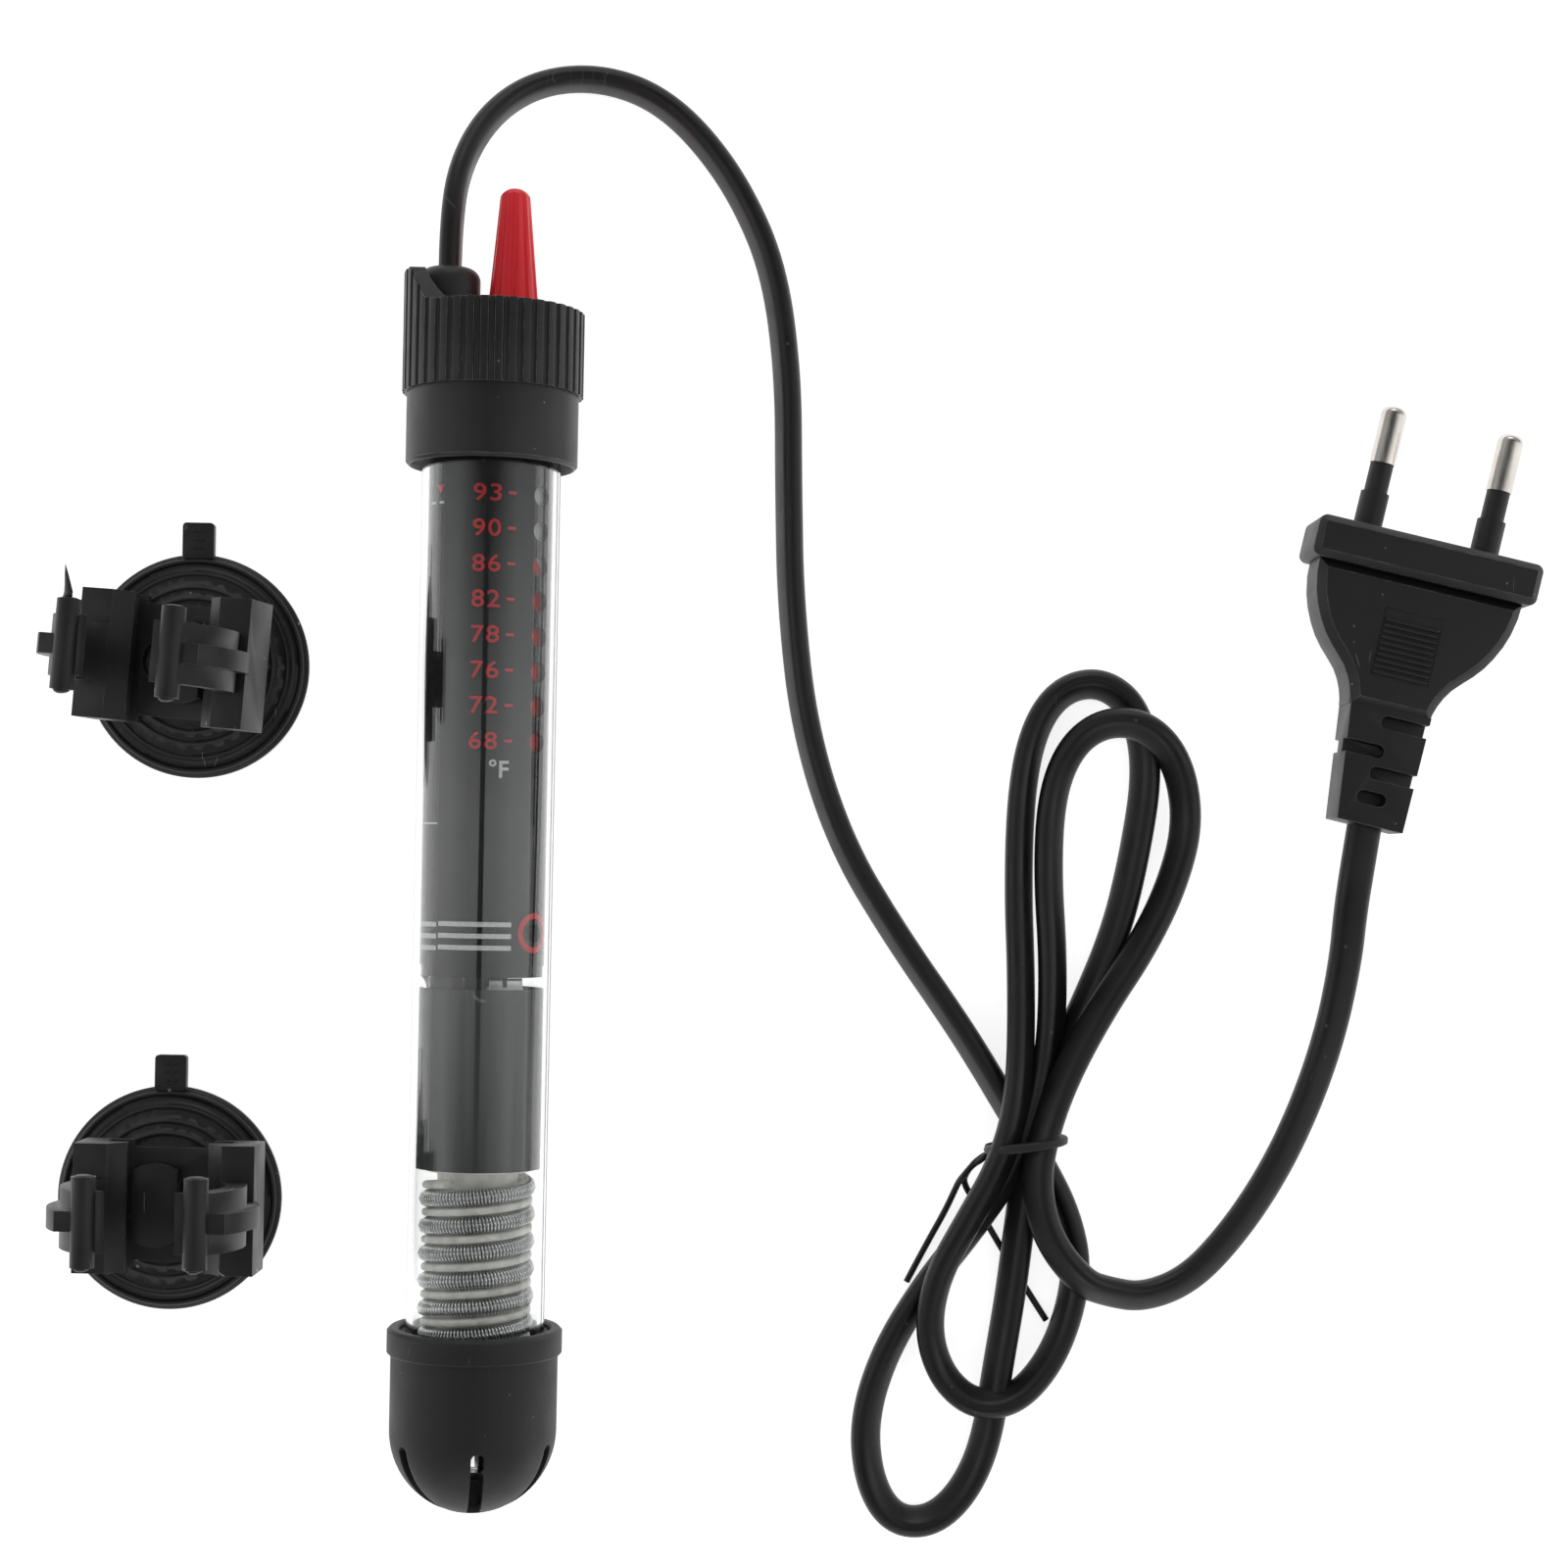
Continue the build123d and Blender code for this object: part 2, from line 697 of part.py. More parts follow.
def suction_cup(place, frame, shift):
    """A rubber cup with its raised rings, pull tab, stem and oblong locking head."""
    cup_axis = Axis((place[0], place[1], 0), (0, 0, 1))
    with BuildPart() as cup:
        with BuildSketch(Plane(origin=(place[0], place[1], 0), x_dir=(1, 0, 0), z_dir=(0, -1, 0))):
            with BuildLine():
                Polyline((15.8, 0), (cup_r, 0), (cup_r, 0.7), (17.1, 1.1), (15.4, 1.5))
                Polyline((15.4, 1.5), (9.0, 3.9), (5.6, 5.0))
                Polyline((5.6, 5.0), (4.6, 6.2), (0, 6.2), (0, 3.2), (6.0, 2.9), (15.8, 0))
            make_face()
        revolve(axis=cup_axis)
        with BuildSketch(Plane(origin=(place[0], place[1], 0), x_dir=(1, 0, 0), z_dir=(0, -1, 0))):
            for r in ring_radii:
                with Locations((r, bead_height + max(0, slope_start_r - r) * slope_rise)):
                    Circle(bead_r)
        revolve(axis=cup_axis)
        with BuildSketch(Plane.XY.offset(tab_bottom)):
            with Locations((place[0], place[1] + tab_offset)):
                RectangleRounded(tab_width, tab_length, tab_round)
        extrude(amount=tab_thickness)
        stem_base = frame.offset(stem_start - plate_height).origin - frame.x_dir * shift
        with BuildSketch(Plane(origin=stem_base, x_dir=frame.x_dir, z_dir=frame.z_dir)):
            Circle(stem_r)
        extrude(amount=plate_height - stem_start + apart)
        head_base = frame.offset(apart).origin - frame.x_dir * shift
        with BuildSketch(Plane(origin=head_base, x_dir=frame.x_dir, z_dir=frame.z_dir)):
            Circle(head_long_r)
            Rectangle(2 * head_half_width, 2 * head_long_r, mode=Mode.INTERSECT)
        extrude(amount=head_thickness)
    return cup


suction_cup_upper = suction_cup(upper_cup_at, upper_frame, upper_shift)
suction_cup_upper.part.label = "suction_cup_upper"
export_step(suction_cup_upper.part, "parts/suction_cup_upper.step")

suction_cup_lower = suction_cup(lower_cup_at, lower_frame, lower_shift)
suction_cup_lower.part.label = "suction_cup_lower"
export_step(suction_cup_lower.part, "parts/suction_cup_lower.step")

plate_gauge = 1.5
plate_half_length = 8.7
slot_opening = 7.2
relief_height = 2.9
wing_half_length = 9.85
arm_foot = 5.0
arm_width = 9.0
arm_rib_width = 3.0
jaw_half_length = 6.65
clear_of_clip = 40.0    # size of the blocks that trim the arms
wing_inner = 6.2
wing_outer = 13.7
wing_relief = 9.5
wing_top = 7.0
arm_r = 13.6
arm_rib_r = 15.5
jaw_r = 1.8
jaw_dx = 8.2
jaw_dz = 9.2


def clip(frame):
    """A moulded clip: plate with a slot, two cradle wings, two sprung arms and their jaw bars."""
    section = Plane(origin=frame.origin, x_dir=frame.x_dir, z_dir=-frame.y_dir)
    with BuildPart() as body:
        with BuildSketch(section):
            with Locations((0, -plate_gauge / 2)):
                Rectangle(2 * wing_outer, plate_gauge)
        extrude(amount=plate_half_length, both=True)
        with BuildSketch(frame):
            SlotOverall(2 * wing_inner, slot_opening)
        extrude(amount=-plate_gauge, mode=Mode.SUBTRACT)
        with BuildSketch(section):
            for side in (-1, 1):
                with Locations((side * (wing_inner + wing_outer) / 2, (wing_top - plate_gauge) / 2)):
                    Rectangle(wing_outer - wing_inner, wing_top + plate_gauge)
                with Locations((side * (wing_inner + wing_relief) / 2, relief_height / 2)):
                    Rectangle(wing_relief - wing_inner, relief_height, mode=Mode.SUBTRACT)
            with Locations((0, clip_seat_height)):
                Circle(clip_seat_r, mode=Mode.SUBTRACT)
        extrude(amount=wing_half_length, both=True)
        for width, outer in ((arm_width, arm_r), (arm_rib_width, arm_rib_r)):
            with BuildSketch(section):
                with Locations((0, clip_seat_height)):
                    Circle(outer)
                    Circle(clip_seat_r, mode=Mode.SUBTRACT)
                with Locations((0, clip_seat_height + jaw_dz)):
                    Rectangle(
                        clear_of_clip, clear_of_clip, align=(Align.CENTER, Align.MIN), mode=Mode.SUBTRACT
                    )
                with Locations((0, arm_foot)):
                    Rectangle(
                        clear_of_clip, clear_of_clip, align=(Align.CENTER, Align.MAX), mode=Mode.SUBTRACT
                    )
            extrude(amount=width / 2, both=True)
        with BuildSketch(section):
            with Locations((-jaw_dx, clip_seat_height + jaw_dz), (jaw_dx, clip_seat_height + jaw_dz)):
                Circle(jaw_r)
        extrude(amount=jaw_half_length, both=True)
    return body


clip_upper = clip(upper_frame)
clip_upper.part.label = "clip_upper"
export_step(clip_upper.part, "parts/clip_upper.step")

clip_lower = clip(lower_frame)
clip_lower.part.label = "clip_lower"
export_step(clip_lower.part, "parts/clip_lower.step")

# ---------------------------------------------------------------- plug
t = radians(plug_turn)
plug_frame = Plane(
    origin=(plug_at[0], plug_at[1], flange_height / 2), x_dir=(cos(t), -sin(t), 0), z_dir=(0, 0, 1)
)
body_half = 5.4
body_bevel = 1.3
relief_half = 4.6
relief_left = (-6.2, -4.1)    # the strain relief leans to the right: its sides at its two ends
relief_right = (6.4, 6.2)
relief_centre_x = 1.1
neck_y = -23.3
neck_overlap = 0.5
relief_end_y = -41.4
slot_gap = 2.0
slot_floor = 1.7        # of the slots' shut inner ends, from the middle plane
open_slot = 9.0         # cut in from one side of the relief
closed_slot = 4.6
# Middle of each slot and its length
relief_slots = [
    (3.5, -25.5, open_slot),
    (-3.9, -30.1, open_slot),
    (3.6, -33.4, open_slot),
    (0.3, -37.3, closed_slot),
]
flange_round = 1.2
flange_bevel = 1.0

with BuildPart() as plug_body:
    with BuildSketch(plug_frame):
        with BuildLine():
            Polyline(
                (0, -flange_depth / 2),
                (15.9, -flange_depth / 2),
                (15.8, -5.4),
                (15.3, -8.0),
                (14.6, -10.1),
                (13.6, -12.2),
                (12.5, -14.0),
                (11.2, -15.6),
                (9.8, -17.0),
                (8.5, -18.4),
                (7.6, -19.8),
                (6.95, -21.2),
                (6.5, -22.6),
                (6.3, neck_y - neck_overlap),
                (0, neck_y - neck_overlap),
            )
            mirror(about=Plane.YZ)
        make_face()
    extrude(amount=body_half, both=True)
    chamfer(plug_body.edges().group_by(Axis.Z)[0], body_bevel)
    chamfer(plug_body.edges().group_by(Axis.Z)[-1], body_bevel)
    with BuildSketch(plug_frame):
        with BuildLine():
            Polyline(
                (relief_left[0], neck_y),
                (relief_right[0], neck_y),
                (relief_right[1], relief_end_y),
                (relief_left[1], relief_end_y),
                close=True,
            )
        make_face()
    extrude(amount=relief_half, both=True)
    # Alternating slots that let the strain relief bend
    for x, y, length in relief_slots:
        for floor, depth in ((slot_floor, body_half), (-slot_floor, -body_half)):
            with BuildSketch(plug_frame.offset(floor)):
                with Locations((x, y)):
                    SlotOverall(length, slot_gap)
            extrude(amount=depth, mode=Mode.SUBTRACT)
    with BuildSketch(plug_frame):
        RectangleRounded(flange_width, flange_depth, flange_round)
    extrude(amount=flange_height / 2, both=True)
    chamfer(plug_body.edges().group_by(Axis.Z)[0], flange_bevel)
    chamfer(plug_body.edges().group_by(Axis.Z)[-1], flange_bevel)
plug_body.part.label = "plug_body"
export_step(plug_body.part, "parts/plug_body.step")


def plug_section(y, dx):
    """Plane square to the plug's pins at a distance in front of the flange's face."""
    origin = plug_frame.from_local_coords((dx, flange_depth / 2 + y, 0))
    return Plane(origin=origin, x_dir=plug_frame.x_dir, z_dir=plug_frame.y_dir)


def pin(dx):
    """A metal pin with its thinner core inside the plastic sleeve."""
    with BuildPart() as metal:
        with BuildSketch(plug_section(0, dx)):
            Circle(pin_core_r)
        extrude(amount=sleeve_end_y)
        with BuildSketch(plug_section(sleeve_end_y, dx)):
            Circle(pin_r)
        extrude(amount=pin_length - sleeve_end_y)
        fillet(metal.edges().sort_by(Axis(plug_frame.origin, plug_frame.y_dir))[-1], pin_tip_round)
    return metal


plug_pin_left = pin(-pin_spacing / 2)
plug_pin_left.part.label = "plug_pin_left"
export_step(plug_pin_left.part, "parts/plug_pin_left.step")

plug_pin_right = pin(pin_spacing / 2)
plug_pin_right.part.label = "plug_pin_right"
export_step(plug_pin_right.part, "parts/plug_pin_right.step")

with BuildPart() as pin_sleeves:
    for dx in (-pin_spacing / 2, pin_spacing / 2):
        for start, end, r in (
            (0, sleeve_step_y, sleeve_foot_r),
            (sleeve_step_y, sleeve_end_y, sleeve_shank_r),
        ):
            with BuildSketch(plug_section(start, dx)):
                Circle(r)
                Circle(pin_core_r, mode=Mode.SUBTRACT)
            extrude(amount=end - start)
pin_sleeves.part.label = "pin_sleeves"
export_step(pin_sleeves.part, "parts/pin_sleeves.step")

# ---------------------------------------------------------------- cord
# The flat cord leaves the gland, springs down to the floor in a high arch, is folded into a loose
# tied hank of two long loops each way, and runs on to the plug.
gland_exit = (heater_x + gland_dx, pole_y + gland_top, heater_z)
plug_entry = plug_frame.from_local_coords((relief_centre_x, relief_end_y, 0))
approach_length = 6.5    # straight run of the cord into the plug
approach_x = 1.6
plug_approach = plug_frame.from_local_coords((approach_x, relief_end_y - approach_length, 0))

feed_route = [
    gland_exit,
    (heater_x + gland_dx, 94.8, heater_z),
    (20.6, 103.6, 11.8),
    (23.6, 111.6, 8.4),
    (28.6, 117.4, 5.4),
    (35.0, 120.4, 3.4),
    (42.5, 120.6, 2.7),
    (50.0, 118.0, 2.7),
    (56.8, 112.4, 2.7),
    (63.5, 103.5, 2.7),
    (69.0, 91.5, 2.7),
    (71.5, 75.0, 2.7),
    (71.9, 57.5, 2.7),
    (72.6, 39.0, 2.7),
    (75.2, 19.5, 2.7),
    (81.2, 2.0, 2.7),
    (90.0, -12.0, 2.7),
    (99.4, -25.0, 2.7),
    (104.0, -32.0, 2.7),
]
hank_route = [
    (104.0, -32.0, 2.7),
    (108.6, -39.4, 2.9),
    (113.6, -47.4, 2.9),
    (117.4, -54.6, 2.7),
    (119.4, -63.0, 2.6),
    (117.8, -72.0, 2.6),
    (114.4, -79.2, 3.2),
    (109.4, -84.0, 4.4),
    (103.4, -84.6, 4.4),
    (98.4, -80.4, 3.8),
    (96.0, -73.0, 4.4),
    (97.4, -64.2, 5.8),
    (102.0, -55.6, 6.6),
    (106.8, -46.6, 7.4),
    (109.4, -36.6, 7.2),
    (109.6, -20.0, 5.0),
    (108.8, -3.0, 3.0),
    (109.2, 12.6, 2.7),
    (111.4, 22.0, 2.7),
    (115.6, 27.2, 2.7),
    (121.6, 28.2, 2.7),
    (126.8, 24.0, 2.7),
    (128.8, 14.6, 2.7),
    (127.0, 1.4, 2.7),
    (124.4, -10.6, 2.7),
    (119.8, -22.2, 2.7),
    (114.6, -33.8, 3.2),
    (111.6, -43.6, 3.6),
    (110.2, -56.0, 2.8),
    (109.0, -67.6, 2.5),
    (107.2, -79.2, 2.5),
    (105.6, -91.0, 2.5),
    (102.2, -98.8, 2.5),
    (97.2, -103.4, 2.5),
    (91.4, -103.2, 2.5),
    (87.6, -97.6, 2.5),
    (86.4, -88.0, 2.5),
    (89.4, -77.2, 2.5),
    (95.6, -66.6, 2.5),
    (104.0, -55.6, 3.4),
    (111.0, -44.0, 4.8),
    (114.2, -31.0, 4.6),
    (114.6, -16.4, 3.8),
    (113.4, -1.6, 3.2),
    (113.8, 10.4, 3.2),
    (116.6, 18.0, 3.8),
    (121.4, 21.8, 5.4),
    (127.6, 21.6, 6.8),
    (133.0, 16.4, 5.2),
    (135.2, 6.6, 3.6),
    (132.6, -3.6, 4.4),
    (127.8, -13.2, 6.2),
    (122.2, -21.8, 7.0),
    (117.0, -31.4, 7.4),
    (113.6, -40.4, 7.4),
    (112.0, -49.0, 7.2),
    (114.0, -58.0, 7.0),
    (119.6, -65.0, 6.2),
    (124.0, -66.6, 4.6),
]
tail_route = [
    (124.0, -66.6, 4.6),
    (129.6, -67.6, 3.2),
    (136.8, -64.8, 2.4),
    (143.4, -57.6, 2.3),
    (149.6, -48.0, 2.3),
    (154.6, -37.0, 2.3),
    (158.2, -25.6, 2.4),
    (160.0, -14.6, 3.6),
    (160.2, -6.6, 5.8),
    plug_approach,
    plug_entry,
]


arc_share = 0.45         # of the shorter run at a corner, taken by its arc


def corner_radii(route):
    """An arc for each corner of a route that takes an even share of its shorter run."""
    radii = []
    for before, corner, after in zip(route, route[1:], route[2:]):
        run_in = Vector(corner) - Vector(before)
        run_out = Vector(after) - Vector(corner)
        half_turn = radians(run_in.get_angle(run_out)) / 2
        radii.append(arc_share * min(run_in.length, run_out.length) / tan(half_turn))
    return radii


def cord_tube(route):
    """A round tube along straight runs joined by tangent arcs."""
    with BuildPart() as tube:
        with BuildLine():
            path = FilletPolyline(*route, radius=corner_radii(route))
        with BuildSketch(Plane(origin=path @ 0, z_dir=path % 0)):
            Circle(cord_tube_r)
        sweep()
    length = path.length
    share = tube.part.volume / (pi * cord_tube_r**2 * length)
    print("radii", [round(r, 1) for r in corner_radii(route)])
    print("length", round(length, 1), "volume over section times length", round(share, 4))
    return tube


cord_feed = cord_tube(feed_route)
cord_feed.part.label = "cord_feed"
export_step(cord_feed.part, "parts/cord_feed.step")

cord_tail = cord_tube(tail_route)
cord_tail.part.label = "cord_tail"
export_step(cord_tail.part, "parts/cord_tail.step")

# The hank is one solid: the cord's own loops as seen from above, thickened where the tie nips them
waist = (110.6, -43.8)
waist_half_x = 5.1
waist_half_y = 11.0      # length of the pinched bundle, along the hank
waist_half_z = 4.3
waist_sink = 0.4         # the bundle's flat top, below the tie's hollow
tie_gauge = 1.3
tie_tail = [(105.0, -44.0, 3.6), (102.6, -47.0, 2.4), (99.6, -52.4, 1.0), (92.6, -66.4, 0.8)]
tie_tail_bend = 2.0
tie_z = tie_gauge + waist_half_z
hank_height = cord_width
hank_flat = [(x, y) for x, y, z in hank_route]
hank_line = FilletPolyline(*hank_route, radius=corner_radii(hank_route))
print("cord length in the hank", round(hank_line.length, 1))
hank_bends = [0, 10, 20, 28, 35, 45, 52, len(hank_flat) - 1]   # stretches that don't cross themselves

with BuildPart() as cord_hank:
    with BuildSketch():
        for first, last in zip(hank_bends, hank_bends[1:]):
            stretch = hank_flat[max(first - 1, 0):last + 1]
            with BuildLine():
                FilletPolyline(*stretch, radius=corner_radii(stretch))
            trace(line_width=2 * cord_tube_r)
    extrude(amount=hank_height)
    with BuildSketch():
        with Locations(waist):
            Ellipse(waist_half_x, waist_half_y)
    extrude(amount=tie_z + waist_half_z - waist_sink)
    with BuildSketch(Plane(origin=(waist[0], waist[1], tie_z), x_dir=(1, 0, 0), z_dir=(0, -1, 0))):
        Rectangle(4 * waist_half_x, 4 * tie_z)
        Ellipse(waist_half_x, waist_half_z, mode=Mode.SUBTRACT)
    extrude(amount=tie_gauge / 2, both=True, mode=Mode.SUBTRACT)
    add(cord_tail.part, mode=Mode.SUBTRACT)
    add(cord_feed.part, mode=Mode.SUBTRACT)
cord_hank.part.label = "cord_hank"
export_step(cord_hank.part, "parts/cord_hank.step")

with BuildPart() as hank_tie:
    with BuildSketch(Plane(origin=(waist[0], waist[1], tie_z), x_dir=(1, 0, 0), z_dir=(0, -1, 0))):
        Ellipse(waist_half_x + tie_gauge, waist_half_z + tie_gauge)
        Ellipse(waist_half_x, waist_half_z, mode=Mode.SUBTRACT)
    extrude(amount=tie_gauge / 2, both=True)
    with BuildLine():
        tail_line = FilletPolyline(*tie_tail, radius=tie_tail_bend)
    with BuildSketch(Plane(origin=tail_line @ 0, z_dir=tail_line % 0)):
        Circle(tie_gauge / 2)
    sweep()
    add(cord_hank.part, mode=Mode.SUBTRACT)
hank_tie.part.label = "hank_tie"
export_step(hank_tie.part, "parts/hank_tie.step")
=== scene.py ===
import json
import math
import random

import bmesh
import bpy
from bpy.props import FloatProperty, FloatVectorProperty, IntProperty, PointerProperty
from mathutils import Matrix, Vector


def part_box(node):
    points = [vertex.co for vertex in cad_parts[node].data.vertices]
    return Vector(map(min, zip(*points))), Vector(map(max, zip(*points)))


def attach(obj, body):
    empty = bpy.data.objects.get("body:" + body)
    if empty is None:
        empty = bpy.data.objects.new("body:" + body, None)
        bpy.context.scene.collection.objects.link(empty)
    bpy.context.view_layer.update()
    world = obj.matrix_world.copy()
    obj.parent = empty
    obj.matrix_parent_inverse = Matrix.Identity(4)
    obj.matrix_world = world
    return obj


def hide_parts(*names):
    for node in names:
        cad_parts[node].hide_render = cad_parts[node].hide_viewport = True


bl_info = {
    "name": "Aquarium heater",
    "version": (1, 0, 0),
    "blender": (4, 5, 0),
    "location": "3D Viewport > Sidebar > Heater",
    "description": "Glass, label, heating coil, brackets, cord and plug round the heater's frame",
    "category": "Object",
}

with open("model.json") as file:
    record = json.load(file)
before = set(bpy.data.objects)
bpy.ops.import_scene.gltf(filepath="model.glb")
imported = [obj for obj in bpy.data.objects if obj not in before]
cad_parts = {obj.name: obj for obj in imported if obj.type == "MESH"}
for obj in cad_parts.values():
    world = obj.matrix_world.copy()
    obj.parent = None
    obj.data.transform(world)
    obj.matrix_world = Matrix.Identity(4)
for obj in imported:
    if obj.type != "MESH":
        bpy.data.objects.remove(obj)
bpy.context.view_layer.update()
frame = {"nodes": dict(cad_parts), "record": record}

MM = 0.001
tube_low, tube_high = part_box("glass_tube")
AXIS_X = (tube_low.x + tube_high.x) / 2
AXIS_Z = (tube_low.z + tube_high.z) / 2
POLE_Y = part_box("guard")[0].y
LABEL_R = 9.4 * MM
UP = Vector((0, 0, 1))

# Stations in millimetres along the heater from the guard's pole, as on the frame
COIL_START, COIL_END = 20.0, 51.6
LABEL_START, LABEL_END = 83.1, 160.2
LAMP_STATION = 88.1
SCALE = (
    (93, 153.6), (90, 148.33), (86, 143.06), (82, 137.79),
    (78, 132.51), (76, 127.24), (72, 121.97), (68, 116.7),
)
WINDOW_ANGLE = 57.0

# The drum's painted edge, in metres: climb in each turn, station straight up, and blur
DRUM_CLIMB, DRUM_EDGE, DRUM_BLUR = 0.0443, 0.1502, 0.0003


# ---------------------------------------------------------------- the cord's route, millimetres
FEED_ROUTE = [
    (19.85, 88.2, 13.7), (19.85, 94.8, 13.7), (20.6, 103.6, 11.8), (23.6, 111.6, 8.4), (28.6, 117.4, 5.4),
    (35.0, 120.4, 3.4), (42.5, 120.6, 2.7), (50.0, 118.0, 2.7), (56.8, 112.4, 2.7), (63.5, 103.5, 2.7),
    (69.0, 91.5, 2.7), (71.5, 75.0, 2.7), (71.9, 57.5, 2.7), (72.6, 39.0, 2.7), (75.2, 19.5, 2.7),
    (81.2, 2.0, 2.7), (90.0, -12.0, 2.7), (99.4, -25.0, 2.7), (104.0, -32.0, 2.7),
]
HANK_ROUTE = [
    (108.6, -39.4, 2.9), (113.6, -47.4, 2.9), (117.4, -54.6, 2.7), (119.4, -63.0, 2.6), (117.8, -72.0, 2.6),
    (114.4, -79.2, 3.2), (109.4, -84.0, 4.4), (103.4, -84.6, 4.4), (98.4, -80.4, 3.8), (96.0, -73.0, 4.4),
    (97.4, -64.2, 5.8), (102.0, -55.6, 6.6), (106.8, -46.6, 7.4), (109.4, -36.6, 7.2), (109.6, -20.0, 5.0),
    (108.8, -3.0, 3.0), (109.2, 12.6, 2.7), (111.4, 22.0, 2.7), (115.6, 27.2, 2.7), (121.6, 28.2, 2.7),
    (126.8, 24.0, 2.7), (128.8, 14.6, 2.7), (127.0, 1.4, 2.7), (124.4, -10.6, 2.7), (119.8, -22.2, 2.7),
    (114.6, -33.8, 3.2), (111.6, -43.6, 3.6), (110.2, -56.0, 2.8), (109.0, -67.6, 2.5), (107.2, -79.2, 2.5),
    (105.6, -91.0, 2.5), (102.2, -98.8, 2.5), (97.2, -103.4, 2.5), (91.4, -103.2, 2.5), (87.6, -97.6, 2.5),
    (86.4, -88.0, 2.5), (89.4, -77.2, 2.5), (95.6, -66.6, 2.5), (104.0, -55.6, 3.4), (111.0, -44.0, 4.8),
    (114.2, -31.0, 4.6), (114.6, -16.4, 3.8), (113.4, -1.6, 3.2), (113.8, 10.4, 3.2), (116.6, 18.0, 3.8),
    (121.4, 21.8, 5.4), (127.6, 21.6, 6.8), (133.0, 16.4, 5.2), (135.2, 6.6, 3.6), (132.6, -3.6, 4.4),
    (127.8, -13.2, 6.2), (122.2, -21.8, 7.0), (117.0, -31.4, 7.4), (113.6, -40.4, 7.4), (112.0, -49.0, 7.2),
    (114.0, -58.0, 7.0), (119.6, -65.0, 6.2), (124.0, -66.6, 4.6),
]
TAIL_ROUTE = [
    (129.6, -67.6, 3.2), (136.8, -64.8, 2.4), (143.4, -57.6, 2.3), (149.6, -48.0, 2.3), (154.6, -37.0, 2.3),
    (158.2, -25.6, 2.4), (160.0, -14.6, 3.6), (160.2, -6.6, 5.8), (160.88, -0.03, 6.85), (161.83, 6.42, 6.85),
]
# How far the flat cord leans from lying flat, in degrees, at some points of its route
CORD_LEAN = (
    (0, 90), (5, 84), (8, 66), (12, 62), (18, 60), (30, 55), (46, 48), (70, 50), (77, 40), (81, 30), (86, 0))


# ---------------------------------------------------------------- sizes and colours
def length(name, description, default):
    return FloatProperty(name=name, description=description, default=default, unit="LENGTH")


def colour(name, description, red, green, blue):
    return FloatVectorProperty(
        name=name, description=description, subtype="COLOR", size=4, default=(red, green, blue, 1))


class HeaterSizes(bpy.types.PropertyGroup):
    cord_width: length("Cord width", "Wide side of the flat cord", 0.0054)
    cord_thickness: length("Cord thickness", "Narrow side of the flat cord", 0.0033)
    cord_length: length("Cord length", "Real length from the gland to the plug", 0.889)
    strand: length("Coil strand", "Diameter of the coiled heating wire", 0.0027)
    wire: length("Heating wire", "Diameter of the bare wire", 0.00030)
    wire_pitch: length("Wire pitch", "Advance of the wire along its strand in each turn", 0.00046)
    coil_pitch: length("Coil pitch", "Advance of the strand along the former in each turn", 0.00413)
    digit_height: length("Digit height", "Height of the scale's digits", 0.0026)
    wire_sides: IntProperty(
        name="Wire sides", description="Sides of the heating wire's section", default=6, min=3, max=16)
    lens: FloatProperty(name="Lens", description="Focal length of the camera", default=62.9, unit="CAMERA")


class HeaterColours(bpy.types.PropertyGroup):
    black: colour("Moulded black", "Collar, guard, clips and plug", 0.012, 0.012, 0.0125)
    rubber: colour("Rubber black", "Suction cups and seals", 0.014, 0.014, 0.0145)
    cord: colour("Cord black", "Sheath of the mains cord", 0.007, 0.007, 0.0075)
    label: colour("Label black", "Scale sleeve inside the glass", 0.011, 0.011, 0.0125)
    red: colour("Knob red", "Control knob", 0.92, 0.020, 0.030)
    ink_red: colour("Red ink", "Scale digits and the drum's set side", 0.72, 0.014, 0.020)
    ink_white: colour("White ink", "Lines and the drum's clear side", 0.78, 0.78, 0.79)
    ceramic: colour("Ceramic", "Ribbed former under the coil", 0.90, 0.88, 0.82)
    wire: colour("Wire grey", "Resistance wire", 0.80, 0.81, 0.82)
    shield: colour("Shield grey", "Heat shield", 0.035, 0.035, 0.037)
    # Paler colour of the rounded edges: partly wear, partly a painted edge highlight
    worn: colour("Worn edge", "Paler plastic along rubbed edges", 0.24, 0.24, 0.245)


# ---------------------------------------------------------------- places on the heater
def on_tube(angle, station, radius):
    """A point on the heater: angle in radians from straight up, station in millimetres, radius in metres."""
    return Vector((
        AXIS_X + radius * math.sin(angle),
        POLE_Y + station * MM,
        AXIS_Z + radius * math.cos(angle),
    ))


def metres(points):
    return [Vector(p) * MM for p in points]


# ---------------------------------------------------------------- shared shader groups
def new_group(name, inputs, outputs):
    """A shader group with its sockets, and its input and output nodes."""
    group = bpy.data.node_groups.new(name, "ShaderNodeTree")
    for label, kind, value in inputs:
        socket = group.interface.new_socket(label, in_out="INPUT", socket_type=kind)
        socket.default_value = value
    for label, kind in outputs:
        group.interface.new_socket(label, in_out="OUTPUT", socket_type=kind)
    return group, group.nodes.new("NodeGroupInput"), group.nodes.new("NodeGroupOutput")


def feed(tree, socket, value):
    """Links a socket from another, or sets its value."""
    if isinstance(value, bpy.types.NodeSocket):
        tree.links.new(value, socket)
    else:
        socket.default_value = value


def node(tree, kind, inputs=None, **settings):
    """A shader node with its settings, and its inputs set to values or linked from sockets."""
    made = tree.nodes.new(kind)
    for key, value in settings.items():
        setattr(made, key, value)
    for key, value in (inputs or {}).items():
        feed(tree, made.inputs[key], value)
    return made


def place_on(tree):
    """The shaded point in the object's own axes."""
    return node(tree, "ShaderNodeTexCoord").outputs["Object"]


